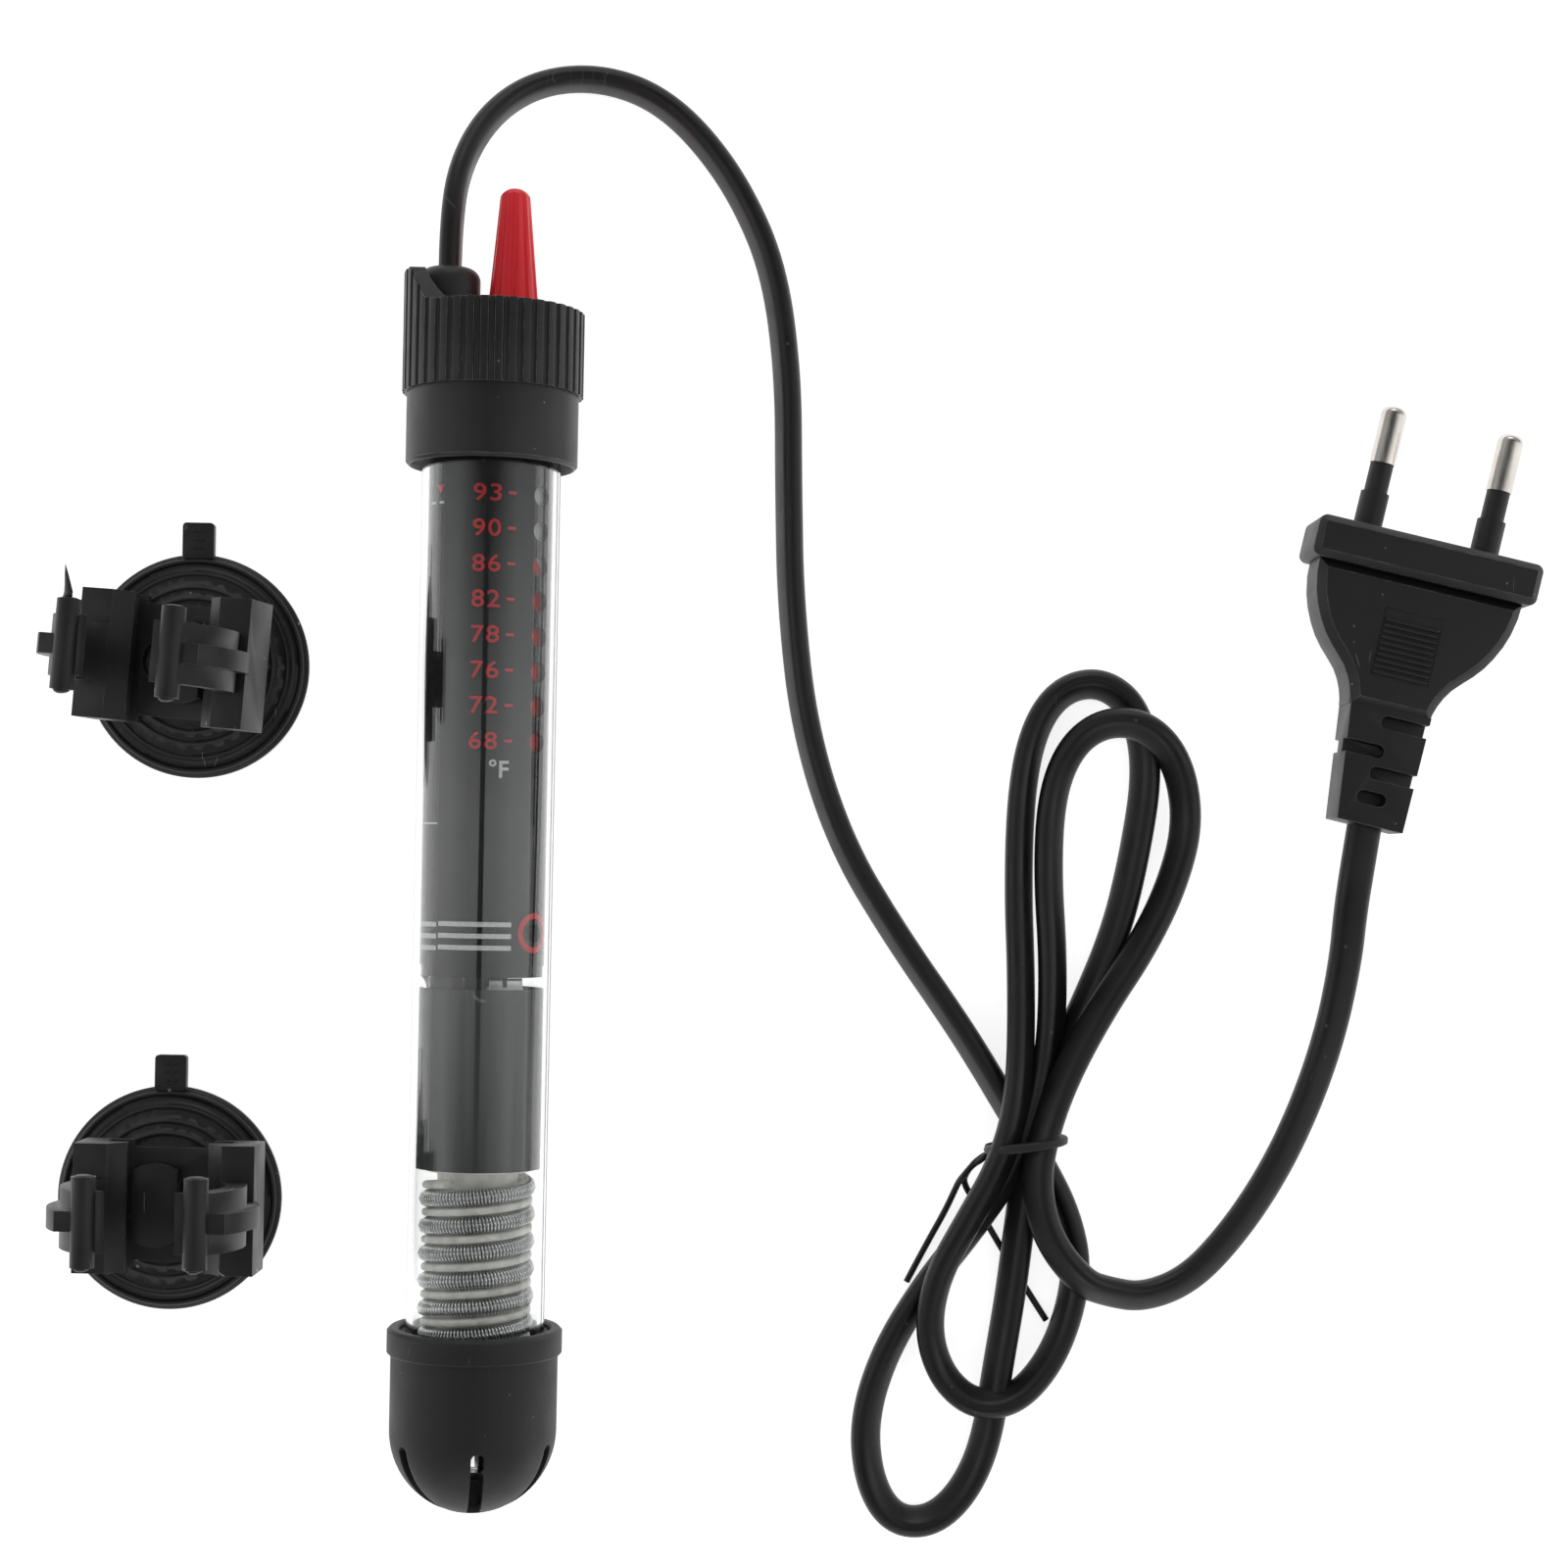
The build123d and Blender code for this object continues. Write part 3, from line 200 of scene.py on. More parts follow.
def stretched(tree, where, scale):
    return node(tree, "ShaderNodeMapping", {"Vector": where, "Scale": scale}).outputs["Vector"]


def noise_of(tree, scale, detail, roughness, where):
    return node(tree, "ShaderNodeTexNoise", {
        "Scale": scale, "Detail": detail, "Roughness": roughness, "Vector": where}).outputs["Fac"]


def sums(tree, operation, *values):
    made = node(tree, "ShaderNodeMath", operation=operation)
    for socket, value in zip(made.inputs, values):
        feed(tree, socket, value)
    return made.outputs[0]


def ramp(tree, value, low, high, to_low=0.0, to_high=1.0):
    made = node(tree, "ShaderNodeMapRange", {
        "Value": value, "From Min": low, "From Max": high, "To Min": to_low, "To Max": to_high})
    return made.outputs["Result"]


def blend_of(tree, fac, a, b):
    """A colour between a and b."""
    made = node(tree, "ShaderNodeMix", data_type="RGBA")
    # Inputs 0, 6 and 7 and output 2 are the factor and the colours of a colour mix
    for place, value in ((0, fac), (6, a), (7, b)):
        feed(tree, made.inputs[place], value)
    return made.outputs[2]


def times(colour_value, factor):
    """A colour made darker or paler."""
    return tuple(c * factor for c in colour_value[:3]) + (1,)


def make_grain_group():
    """Fine moulded grain: a height for bump and a mottle for roughness."""
    group, given, out = new_group(
        "Moulded grain",
        (("Fineness", "NodeSocketFloat", 2500.0), ("Relief", "NodeSocketFloat", 0.5),
         ("Mottle size", "NodeSocketFloat", 160.0)),
        (("Height", "NodeSocketFloat"), ("Mottle", "NodeSocketFloat")))
    where = place_on(group)
    fine = noise_of(group, given.outputs["Fineness"], 5.0, 0.6, where)
    broad = noise_of(group, given.outputs["Mottle size"], 3.0, 0.5, where)
    height = sums(group, "MULTIPLY", fine, given.outputs["Relief"])
    group.links.new(height, out.inputs["Height"])
    group.links.new(broad, out.inputs["Mottle"])
    return group


def make_wear_group():
    """Paler plastic along the rounded edges, which carry the attribute rubbed: partly wear, partly a painted
    edge highlight.
    """
    group, given, out = new_group(
        "Rubbed edges",
        (("Colour", "NodeSocketColor", (0.02, 0.02, 0.02, 1)),
         ("Worn", "NodeSocketColor", (0.2, 0.2, 0.2, 1)),
         ("Amount", "NodeSocketFloat", 0.6)),
        (("Colour", "NodeSocketColor"), ("Mask", "NodeSocketFloat")))
    where = place_on(group)
    edge = node(group, "ShaderNodeAttribute", attribute_name="rubbed").outputs["Fac"]
    patchy = ramp(group, noise_of(group, 420.0, 4.0, 0.6, where), 0.38, 0.66, 0.15, 1.0)
    mask = sums(group, "MULTIPLY", sums(group, "MULTIPLY", edge, patchy), given.outputs["Amount"])
    # Blends in the paler edge colour: partly wear, partly a painted highlight on the rounded edges
    worn = blend_of(group, mask, given.outputs["Colour"], given.outputs["Worn"])
    group.links.new(worn, out.inputs["Colour"])
    group.links.new(mask, out.inputs["Mask"])
    return group


def make_dust_group():
    """Sparse pale specks and short lint."""
    group, given, out = new_group(
        "Dust and lint",
        (("Colour", "NodeSocketColor", (0.02, 0.02, 0.02, 1)),
         ("Dust", "NodeSocketColor", (0.35, 0.35, 0.34, 1)),
         ("Fineness", "NodeSocketFloat", 900.0), ("Amount", "NodeSocketFloat", 0.5)),
        (("Colour", "NodeSocketColor"), ("Mask", "NodeSocketFloat")))
    where = place_on(group)
    cells = node(group, "ShaderNodeTexVoronoi", {"Vector": where, "Scale": given.outputs["Fineness"]})
    speck = ramp(group, cells.outputs["Distance"], 0.05, 0.16, 1.0, 0.0)
    red = node(group, "ShaderNodeSeparateColor", {"Color": cells.outputs["Color"]}).outputs["Red"]
    chosen = sums(group, "GREATER_THAN", red, 0.93)
    bent = node(group, "ShaderNodeVectorMath", {0: where, 1: (1.0, 0.16, 0.5)}, operation="MULTIPLY")
    thread = node(group, "ShaderNodeTexVoronoi", {"Vector": bent.outputs[0], "Scale": 380.0},
                  feature="DISTANCE_TO_EDGE")
    lint = ramp(group, thread.outputs["Distance"], 0.004, 0.012, 1.0, 0.0)
    rare = ramp(group, noise_of(group, 130.0, 2.0, 0.5, where), 0.66, 0.70)
    specks, threads = sums(group, "MULTIPLY", speck, chosen), sums(group, "MULTIPLY", lint, rare)
    both = sums(group, "MAXIMUM", specks, threads)
    mask = sums(group, "MULTIPLY", both, given.outputs["Amount"])
    dusty = blend_of(group, mask, given.outputs["Colour"], given.outputs["Dust"])
    group.links.new(dusty, out.inputs["Colour"])
    group.links.new(mask, out.inputs["Mask"])
    return group


def group_node(tree, name, inputs=None):
    made = tree.nodes.new("ShaderNodeGroup")
    made.node_tree = bpy.data.node_groups[name]
    for key, value in (inputs or {}).items():
        feed(tree, made.inputs[key], value)
    return made


# ---------------------------------------------------------------- finishes
def new_finish(name, **principled):
    """A material with a Principled shader whose constants stand on its own sockets."""
    material = bpy.data.materials.new(name)
    material.use_nodes = True
    shader = material.node_tree.nodes["Principled BSDF"]
    for key, value in principled.items():
        shader.inputs[key.replace("_", " ")].default_value = value
    return material, material.node_tree, shader


def rough_into(tree, shader, value, low, high, smooth, rough):
    tree.links.new(ramp(tree, value, low, high, smooth, rough), shader.inputs["Roughness"])


def bump_into(tree, shader, height, strength, distance):
    made = node(tree, "ShaderNodeBump", {"Height": height, "Strength": strength, "Distance": distance})
    tree.links.new(made.outputs["Normal"], shader.inputs["Normal"])


def moulded(name, colour, worn, rough, edge_scuff_and_highlight_amount, dust, spread=0.12, fineness=2500.0, relief=0.5, bump=0.25,
            dust_size=900.0):
    """Moulded black plastic or rubber with grain, paler rounded edges (partly wear, partly a painted edge
    highlight) and a little dust.
    """
    material, tree, shader = new_finish(name, Specular_IOR_Level=0.5)
    grain = group_node(tree, "Moulded grain", {"Fineness": fineness, "Relief": relief})
    tint = ramp(tree, grain.outputs["Mottle"], 0.3, 0.7)
    paler = tuple(min(1.0, c * 1.22) for c in colour[:3]) + (1,)
    base = blend_of(tree, tint, colour, paler)
    # Paler rounded edges: partly wear, partly a painted edge highlight
    edges = group_node(tree, "Rubbed edges", {"Colour": base, "Worn": worn, "Amount": edge_scuff_and_highlight_amount})
    specks = group_node(tree, "Dust and lint", {
        "Colour": edges.outputs["Colour"], "Amount": dust, "Fineness": dust_size})
    tree.links.new(specks.outputs["Colour"], shader.inputs["Base Color"])
    rough_into(tree, shader, grain.outputs["Mottle"], 0.25, 0.75, rough - spread / 2, rough + spread / 2)
    bump_into(tree, shader, grain.outputs["Height"], bump, 0.00006)
    return material


def drawn_metal(name, colour, rough, along, relief=0.3, spread=0.18, tarnish=0.25):
    """Bare metal with marks drawn along one axis and slight tarnish."""
    material, tree, shader = new_finish(name, Metallic=1.0)
    where = place_on(tree)
    drawn = stretched(tree, where, along)
    lines = noise_of(tree, 900.0, 4.0, 0.6, drawn)
    cloud = noise_of(tree, 260.0, 3.0, 0.55, where)
    base = blend_of(tree, ramp(tree, cloud, 0.35, 0.7), colour, times(colour, 1 - tarnish))
    tree.links.new(base, shader.inputs["Base Color"])
    rough_into(tree, shader, lines, 0.3, 0.7, rough - spread / 2, rough + spread / 2)
    bump_into(tree, shader, lines, relief, 0.00003)
    return material


def ink(name, colour, rough=0.35):
    """Screen-printed ink, slightly uneven."""
    material, tree, shader = new_finish(name)
    where = place_on(tree)
    thin = ramp(tree, noise_of(tree, 1800.0, 3.0, 0.6, where), 0.3, 0.75)
    tree.links.new(blend_of(tree, thin, colour, times(colour, 0.72)), shader.inputs["Base Color"])
    rough_into(tree, shader, thin, 0.0, 1.0, rough, rough + 0.15)
    return material


def clear_glass(name):
    """Borosilicate glass with faint drawing marks; shadows pass through it."""
    material, tree, shader = new_finish(name, IOR=1.47, Transmission_Weight=1.0)
    shader.inputs["Base Color"].default_value = (0.985, 0.995, 0.99, 1)
    where = place_on(tree)
    smear = noise_of(tree, 90.0, 3.0, 0.6, where)
    rough_into(tree, shader, smear, 0.45, 0.75, 0.0, 0.035)
    clear = node(tree, "ShaderNodeBsdfTransparent", {"Color": (0.95, 0.96, 0.96, 1)})
    path = node(tree, "ShaderNodeLightPath")
    passing = sums(tree, "MAXIMUM", path.outputs["Is Shadow Ray"], path.outputs["Is Diffuse Ray"])
    mixed = node(tree, "ShaderNodeMixShader", {0: passing, 1: shader.outputs[0], 2: clear.outputs[0]})
    tree.links.new(mixed.outputs[0], tree.nodes["Material Output"].inputs["Surface"])
    return material


def drum_paint(name, red, white):
    """Setting drum: red up to a helical edge, white beyond it."""
    material, tree, shader = new_finish(name)
    where = place_on(tree)
    part = node(tree, "ShaderNodeSeparateXYZ", {"Vector": where})
    low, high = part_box("setting_drum")
    centre_x, centre_z = (low.x + high.x) / 2, (low.z + high.z) / 2
    turn = sums(tree, "ARCTAN2", sums(tree, "SUBTRACT", part.outputs["X"], centre_x),
                sums(tree, "SUBTRACT", part.outputs["Z"], centre_z))
    edge = sums(tree, "MULTIPLY_ADD", turn, -DRUM_CLIMB / math.tau, POLE_Y + DRUM_EDGE)
    over = sums(tree, "SUBTRACT", part.outputs["Y"], edge)
    worn = sums(tree, "MULTIPLY", noise_of(tree, 1500.0, 3.0, 0.6, where), DRUM_BLUR)
    mask = ramp(tree, sums(tree, "ADD", over, worn), 0.0, DRUM_BLUR)
    tree.links.new(blend_of(tree, mask, red, white), shader.inputs["Base Color"])
    rough_into(tree, shader, mask, 0.0, 1.0, 0.42, 0.5)
    return material


def label_film(name, colour, worn):
    """Glossy black film of the scale sleeve with faint scuffs."""
    material, tree, shader = new_finish(name, Specular_IOR_Level=0.30)
    where = place_on(tree)
    lines = noise_of(tree, 1300.0, 4.0, 0.6, stretched(tree, where, (1.0, 0.12, 1.0)))
    broad = noise_of(tree, 120.0, 3.0, 0.5, where)
    base = blend_of(tree, ramp(tree, broad, 0.35, 0.7), colour, times(colour, 1.7))
    specks = group_node(tree, "Dust and lint", {"Colour": base, "Amount": 0.12})
    edges = group_node(tree, "Rubbed edges", {"Colour": specks.outputs["Colour"], "Worn": worn})
    tree.links.new(edges.outputs["Colour"], shader.inputs["Base Color"])
    rough_into(tree, shader, lines, 0.35, 0.75, 0.11, 0.22)
    bump_into(tree, shader, broad, 0.10, 0.0001)
    return material


def ceramic_body(name, colour):
    """Unglazed cream ceramic with grains and heat stains."""
    material, tree, shader = new_finish(name)
    grain = group_node(tree, "Moulded grain", {"Fineness": 3200.0, "Relief": 0.8, "Mottle size": 420.0})
    base = blend_of(tree, ramp(tree, grain.outputs["Mottle"], 0.42, 0.8), colour, times(colour, 0.62))
    specks = group_node(tree, "Dust and lint", {
        "Colour": base, "Dust": (0.12, 0.11, 0.09, 1), "Fineness": 1600.0})
    tree.links.new(specks.outputs["Colour"], shader.inputs["Base Color"])
    rough_into(tree, shader, grain.outputs["Mottle"], 0.2, 0.8, 0.6, 0.8)
    bump_into(tree, shader, grain.outputs["Height"], 0.4, 0.00008)
    return material


def shield_coat(name, colour):
    """Dark grey coating of the heat shield with pale flecks; its paler soft bands along the tube are painted
    reflection streaks.
    """
    material, tree, shader = new_finish(name, Metallic=0.55)
    where = place_on(tree)
    # Paler soft bands stretched along the tube: painted reflection streaks
    banded = stretched(tree, where, (1.0, 0.05, 1.0))
    band = ramp(tree, noise_of(tree, 330.0, 2.0, 0.5, banded), 0.35, 0.68)
    base = blend_of(tree, band, colour, times(colour, 2.6))
    specks = group_node(tree, "Dust and lint", {"Colour": base, "Amount": 0.5, "Fineness": 700.0})
    tree.links.new(specks.outputs["Colour"], shader.inputs["Base Color"])
    rough_into(tree, shader, noise_of(tree, 700.0, 4.0, 0.6, where), 0.3, 0.7, 0.38, 0.55)
    bump_into(tree, shader, noise_of(tree, 2200.0, 3.0, 0.6, where), 0.12, 0.00004)
    return material


def make_finishes(colours):
    """Every finish of the heater, by the name of its slot."""
    shade = {key: tuple(getattr(colours, key)) for key in colours.__annotations__}
    worn, black, rubber = shade["worn"], shade["black"], shade["rubber"]
    made = {
        "clear_glass": clear_glass("clear_glass"),
        "sleeve_black": label_film("sleeve_black", shade["label"], worn),
        "drum_red": drum_paint("drum_red", shade["ink_red"], shade["ink_white"]),
        "shield_grey": shield_coat("shield_grey", shade["shield"]),
        "former_ceramic": ceramic_body("former_ceramic", shade["ceramic"]),
        "resistor_body": ceramic_body("resistor_body", (0.42, 0.30, 0.17, 1)),
        "ink_red": ink("ink_red", shade["ink_red"]),
        "ink_white": ink("ink_white", shade["ink_white"]),
    }
    # slot, colour, paler edge colour (partly wear, partly a painted edge highlight), roughness, its amount,
    # dust, and what differs from the usual grain
    for slot, tone, edge, rough, edge_scuff_and_highlight_amount, dust, more in (
        ("knob_red", shade["red"], (0.9, 0.10, 0.12, 1), 0.38, 0.45, 0.08, {"bump": 0.12}),
        ("black_rubber", rubber, worn, 0.62, 0.15, 0.2, {}),
        ("gland_rubber", (0.024, 0.024, 0.025, 1), worn, 0.5, 0.25, 0.3, {}),
        ("cup_rubber", rubber, worn, 0.42, 0.75, 1.0, {
            "spread": 0.2, "fineness": 1700.0, "dust_size": 480.0}),
        ("collar_black", black, worn, 0.42, 0.85, 0.5, {"dust_size": 760.0}),
        ("guard_black", black, worn, 0.55, 0.45, 0.35, {"fineness": 1500.0, "relief": 0.9, "bump": 0.5}),
        ("clip_black", black, worn, 0.45, 0.95, 1.0, {"dust_size": 520.0}),
        ("plug_black", black, worn, 0.48, 0.4, 0.55, {"relief": 0.7, "bump": 0.35, "dust_size": 700.0}),
        ("cord_black", shade["cord"], worn, 0.40, 0.0, 0.18, {
            "spread": 0.16, "fineness": 1900.0, "relief": 0.4, "bump": 0.15, "dust_size": 420.0}),
        ("tie_black", black, worn, 0.5, 0.3, 0.2, {}),
        ("carrier_board", (0.13, 0.075, 0.04, 1), worn, 0.6, 0.2, 0.1, {}),
    ):
        made[slot] = moulded(slot, tone, edge, rough, edge_scuff_and_highlight_amount, dust, **more)
    # slot, colour, roughness, stretch of the drawn marks
    for slot, tone, rough, along, more in (
        ("brass", (0.62, 0.44, 0.18, 1), 0.35, (1.0, 8.0, 1.0), {}),
        ("spring_steel", (0.46, 0.46, 0.47, 1), 0.34, (1.0, 6.0, 1.0), {}),
        ("resistance_wire", shade["wire"], 0.24, (1.0, 1.0, 1.0), {"tarnish": 0.3}),
        ("contact_silver", (0.78, 0.78, 0.77, 1), 0.2, (1.0, 1.0, 1.0), {}),
        ("magnet_steel", (0.18, 0.18, 0.19, 1), 0.45, (3.0, 1.0, 1.0), {}),
        ("pin_nickel", (0.74, 0.70, 0.65, 1), 0.22, (1.0, 0.06, 1.0), {"relief": 0.15, "tarnish": 0.15}),
    ):
        made[slot] = drawn_metal(slot, tone, rough, along, **more)
    return made


FINISHES = {}


# ---------------------------------------------------------------- mesh helpers
def new_piece(name, mesh, slot, body, ink_name=None):
    """An object of a mesh, with its finish, riding on a body of the frame."""
    piece = bpy.data.objects.new(name, mesh)
    bpy.context.scene.collection.objects.link(piece)
    piece.data.materials.clear()
    piece.data.materials.append(FINISHES[ink_name or slot])
    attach(piece, body)
    return piece


def mesh_from(name, verts, faces, smooth=True):
    mesh = bpy.data.meshes.new(name)
    mesh.from_pydata([tuple(v) for v in verts], [], faces)
    mesh.validate()
    if smooth:
        mesh.polygons.foreach_set("use_smooth", [True] * len(mesh.polygons))
    mesh.update()
    return mesh


def tube_faces(rings, sides):
    """Faces between rings of as many vertices each."""
    faces = []
    for i in range(rings - 1):
        for k in range(sides):
            m = (k + 1) % sides
            faces.append((i * sides + k, i * sides + m, (i + 1) * sides + m, (i + 1) * sides + k))
    return faces


def swept(points, radius, sides, flat=1.0):
    """Vertices and faces of a tube along a line of points; radius may be a list. Its ends are closed."""
    last = len(points) - 1
    verts = []
    normal = None
    for i, p in enumerate(points):
        along = (points[min(i + 1, last)] - points[max(i - 1, 0)]).normalized()
        if normal is None:
            normal = along.orthogonal().normalized()
        normal = (normal - along * normal.dot(along)).normalized()
        side = along.cross(normal)
        r = radius[i] if isinstance(radius, (list, tuple)) else radius
        for k in range(sides):
            a = math.tau * k / sides
            verts.append(p + normal * (r * math.cos(a)) + side * (r * flat * math.sin(a)))
    faces = tube_faces(last + 1, sides)
    faces.append(tuple(reversed(range(sides))))
    faces.append(tuple(range(last * sides, (last + 1) * sides)))
    return verts, faces


def joined(parts):
    """Several lists of vertices and faces as one."""
    verts, faces = [], []
    for v, f in parts:
        base = len(verts)
        verts.extend(v)
        faces.extend(tuple(i + base for i in face) for face in f)
    return verts, faces


def turned(profile, steps=96):
    """A closed solid of revolution about the heater's axis from (radius, station) pairs in millimetres."""
    verts, faces = [], []
    count = len(profile)
    for k in range(steps):
        a = math.tau * k / steps
        verts.extend(on_tube(a, s, r * MM) for r, s in profile)
    for k in range(steps):
        n = (k + 1) % steps
        for i in range(count):
            j = (i + 1) % count
            faces.append((k * count + i, k * count + j, n * count + j, n * count + i))
    return verts, faces


def curve_line(curve_object):
    """Points along a curve's own line."""
    mesh = bpy.data.meshes.new_from_object(curve_object)
    points = [v.co.copy() for v in mesh.vertices]
    bpy.data.meshes.remove(mesh)
    return points


def spline_object(name, points, resolution, lean=None):
    """An object of one open NURBS spline through control points in metres."""
    data = bpy.data.curves.new(name, "CURVE")
    data.dimensions = "3D"
    data.twist_mode = "Z_UP"
    data.resolution_u = resolution
    spline = data.splines.new("NURBS")
    spline.points.add(len(points) - 1)
    for i, p in enumerate(points):
        spline.points[i].co = (*p, 1)
        if lean is not None:
            spline.points[i].tilt = lean[i]
    spline.order_u = 3
    spline.use_endpoint_u = True
    made = bpy.data.objects.new(name, data)
    bpy.context.scene.collection.objects.link(made)
    return made


def softened(name, node_name, body, slot, width, segments=2, angle=32.0):
    """A frame solid with its sharp outer edges rounded and marked for the paler edge colour, partly wear and
    partly a painted highlight; it stands for the solid.
    """
    source = frame["nodes"][node_name]
    work = bmesh.new()
    work.from_mesh(source.data)
    bmesh.ops.remove_doubles(work, verts=work.verts, dist=2e-6)
    bmesh.ops.dissolve_limit(work, angle_limit=math.radians(0.6), verts=work.verts, edges=work.edges)
    weight = work.edges.layers.float.new("bevel_weight_edge")
    for edge in work.edges:
        if edge.is_manifold and edge.calc_face_angle_signed() > math.radians(angle):
            edge[weight] = 1.0
    mesh = bpy.data.meshes.new(name)
    work.to_mesh(mesh)
    work.free()
    piece = bpy.data.objects.new(name, mesh)
    bpy.context.scene.collection.objects.link(piece)
    mesh.materials.append(FINISHES[slot])
    mesh.materials.append(FINISHES[slot])
    mesh.polygons.foreach_set("material_index", [0] * len(mesh.polygons))
    bevel = piece.modifiers.new("Edges", "BEVEL")
    bevel.limit_method = "WEIGHT"
    bevel.width = width * MM
    bevel.segments = segments
    bevel.material = 1
    bpy.context.view_layer.update()
    graph = bpy.context.evaluated_depsgraph_get()
    final = bpy.data.meshes.new_from_object(piece.evaluated_get(graph))
    piece.modifiers.clear()
    piece.data = final
    # Marks the bevel's faces for the paler edge colour: partly wear, partly a painted edge highlight
    rubbed = final.attributes.new("rubbed", "FLOAT", "CORNER")
    for face in final.polygons:
        for corner in face.loop_indices:
            rubbed.data[corner].value = float(face.material_index)
    final.polygons.foreach_set("material_index", [0] * len(final.polygons))
    final.polygons.foreach_set("use_smooth", [True] * len(final.polygons))
    final.set_sharp_from_angle(angle=math.radians(38))
    final.materials.clear()
    final.materials.append(FINISHES[slot])
    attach(piece, body)
    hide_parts(node_name)
    return piece


# ---------------------------------------------------------------- stage and camera
FLOOR_HALF = 3.0
FLOOR_CENTRE = (0.07, 0, -0.0002)
LIGHTS_AIM = Vector((0.06, 0.0, 0.0))
# name, place, size across and along, power
PANELS = (
    ("panel_left", (-0.95, 0.0, 0.60), 0.60, 3.4, 5.5),
    ("panel_right", (1.10, 0.0, 0.62), 0.60, 3.4, 6.0),
    ("panel_head", (0.07, 1.10, 0.60), 1.2, 0.40, 2.6),
    ("panel_foot", (0.07, -1.05, 0.60), 1.2, 0.40, 2.0),
)
CAMERA_PLACE = (0.07235, -0.00165, 0.430)
CAMERA_TURN = 1.125
CAMERA_SHIFT = 0.053


class HEATER_OT_stage(bpy.types.Operator):
    """Lay the pale floor, hang the soft lights and set the camera"""
    bl_idname = "heater.stage"
    bl_label = "Stage, lights and camera"

    def execute(self, context):
        material, tree, shader = new_finish("pale_floor", Roughness=0.9)
        shader.inputs["Base Color"].default_value = (0.93, 0.93, 0.93, 1)
        shader.inputs["Emission Color"].default_value = (1, 1, 1, 1)
        shader.inputs["Emission Strength"].default_value = 0.80
        corners = [(x * FLOOR_HALF, y * FLOOR_HALF, 0) for x, y in ((-1, -1), (1, -1), (1, 1), (-1, 1))]
        mesh = mesh_from("floor", corners, [(0, 1, 2, 3)], smooth=False)
        floor = bpy.data.objects.new("floor", mesh)
        floor.location = FLOOR_CENTRE
        mesh.materials.append(material)
        context.scene.collection.objects.link(floor)

        world = bpy.data.worlds.new("studio") if context.scene.world is None else context.scene.world
        context.scene.world = world
        world.use_nodes = True
        sky = world.node_tree
        background = sky.nodes["Background"]
        background.inputs["Color"].default_value = (1, 1, 1, 1)
        # The studio's ceiling is darker than its walls, so upward faces stay deep black
        toward = node(sky, "ShaderNodeTexCoord").outputs["Generated"]
        height = node(sky, "ShaderNodeSeparateXYZ", {"Vector": toward}).outputs["Z"]
        sky.links.new(ramp(sky, height, 0.62, 0.94, 0.40, 0.07), background.inputs["Strength"])

        for name, place, across, along, power in PANELS:
            light = bpy.data.lights.new(name, "AREA")
            light.shape = "RECTANGLE"
            light.size = across
            light.size_y = along
            light.energy = power
            # Each panel fades towards its long edges, as a diffuser does
            light.use_nodes = True
            tree = light.node_tree
            spot = node(tree, "ShaderNodeNewGeometry").outputs["Parametric"]
            across_it = node(tree, "ShaderNodeSeparateXYZ", {"Vector": spot}).outputs["X"]
            off_centre = sums(tree, "ABSOLUTE", sums(tree, "SUBTRACT", across_it, 0.5))
            strength = ramp(tree, off_centre, 0.5, 0.05, 0.0, 1.0)
            tree.links.new(strength, tree.nodes["Emission"].inputs["Strength"])
            lamp = bpy.data.objects.new(name, light)
            lamp.location = place
            aim = LIGHTS_AIM - Vector(place)
            lamp.rotation_euler = aim.to_track_quat("-Z", "Y").to_euler()
            context.scene.collection.objects.link(lamp)

        data = bpy.data.cameras.new("camera")
        data.lens = context.scene.heater_sizes.lens
        data.sensor_width = 36.0
        data.shift_y = CAMERA_SHIFT
        data.clip_start = 0.01
        data.clip_end = 20.0
        camera = bpy.data.objects.new("camera", data)
        camera.location = CAMERA_PLACE
        camera.rotation_euler = (0, 0, math.radians(CAMERA_TURN))
        context.scene.collection.objects.link(camera)
        context.scene.camera = camera
        context.scene.view_settings.view_transform = "Standard"
        return {"FINISHED"}


# ---------------------------------------------------------------- cord
def cord_section(width, thickness):
    """The flat cord's outline: two round cores side by side under one sheath."""
    data = bpy.data.curves.new("cord_section", "CURVE")
    data.dimensions = "2D"
    r = thickness / 2
    half = width / 2 - r
    outline = []
    for side in (1, -1):
        for k in range(9):
            a = math.radians(-90 + 22.5 * k)
            outline.append((side * (half + r * math.cos(a)), side * r * math.sin(a)))
    spline = data.splines.new("POLY")
    spline.points.add(len(outline) - 1)
    for point, (x, y) in zip(spline.points, outline):
        point.co = (x, y, 0, 1)
    spline.use_cyclic_u = True
    made = bpy.data.objects.new("cord_section", data)
    bpy.context.scene.collection.objects.link(made)
    made.hide_render = True
    made.hide_viewport = True
    return made


def leans(count):
    """The cord's lean at each point of its route, in radians."""
    values = []
    for i in range(count):
        for (a, low), (b, high) in zip(CORD_LEAN, CORD_LEAN[1:]):
            if a <= i <= b:
                values.append(math.radians(low + (high - low) * (i - a) / (b - a)))
                break
        else:
            values.append(math.radians(CORD_LEAN[-1][1]))
    return values


class HEATER_OT_cord(bpy.types.Operator):
    """Run the flat mains cord from the gland through its hank to the plug"""
    bl_idname = "heater.cord"
    bl_label = "Mains cord"

    def execute(self, context):
        sizes = context.scene.heater_sizes
        route = metres(FEED_ROUTE + HANK_ROUTE + TAIL_ROUTE)
        cord = spline_object("mains_cord", route, lean=leans(len(route)), resolution=9)
        cord.data.bevel_mode = "OBJECT"
        cord.data.bevel_object = cord_section(sizes.cord_width, sizes.cord_thickness)
        cord.data.use_fill_caps = True
        cord.data.materials.append(FINISHES["cord_black"])
        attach(cord, "heater")
        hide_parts("cord_feed", "cord_hank", "cord_tail")
        return {"FINISHED"}


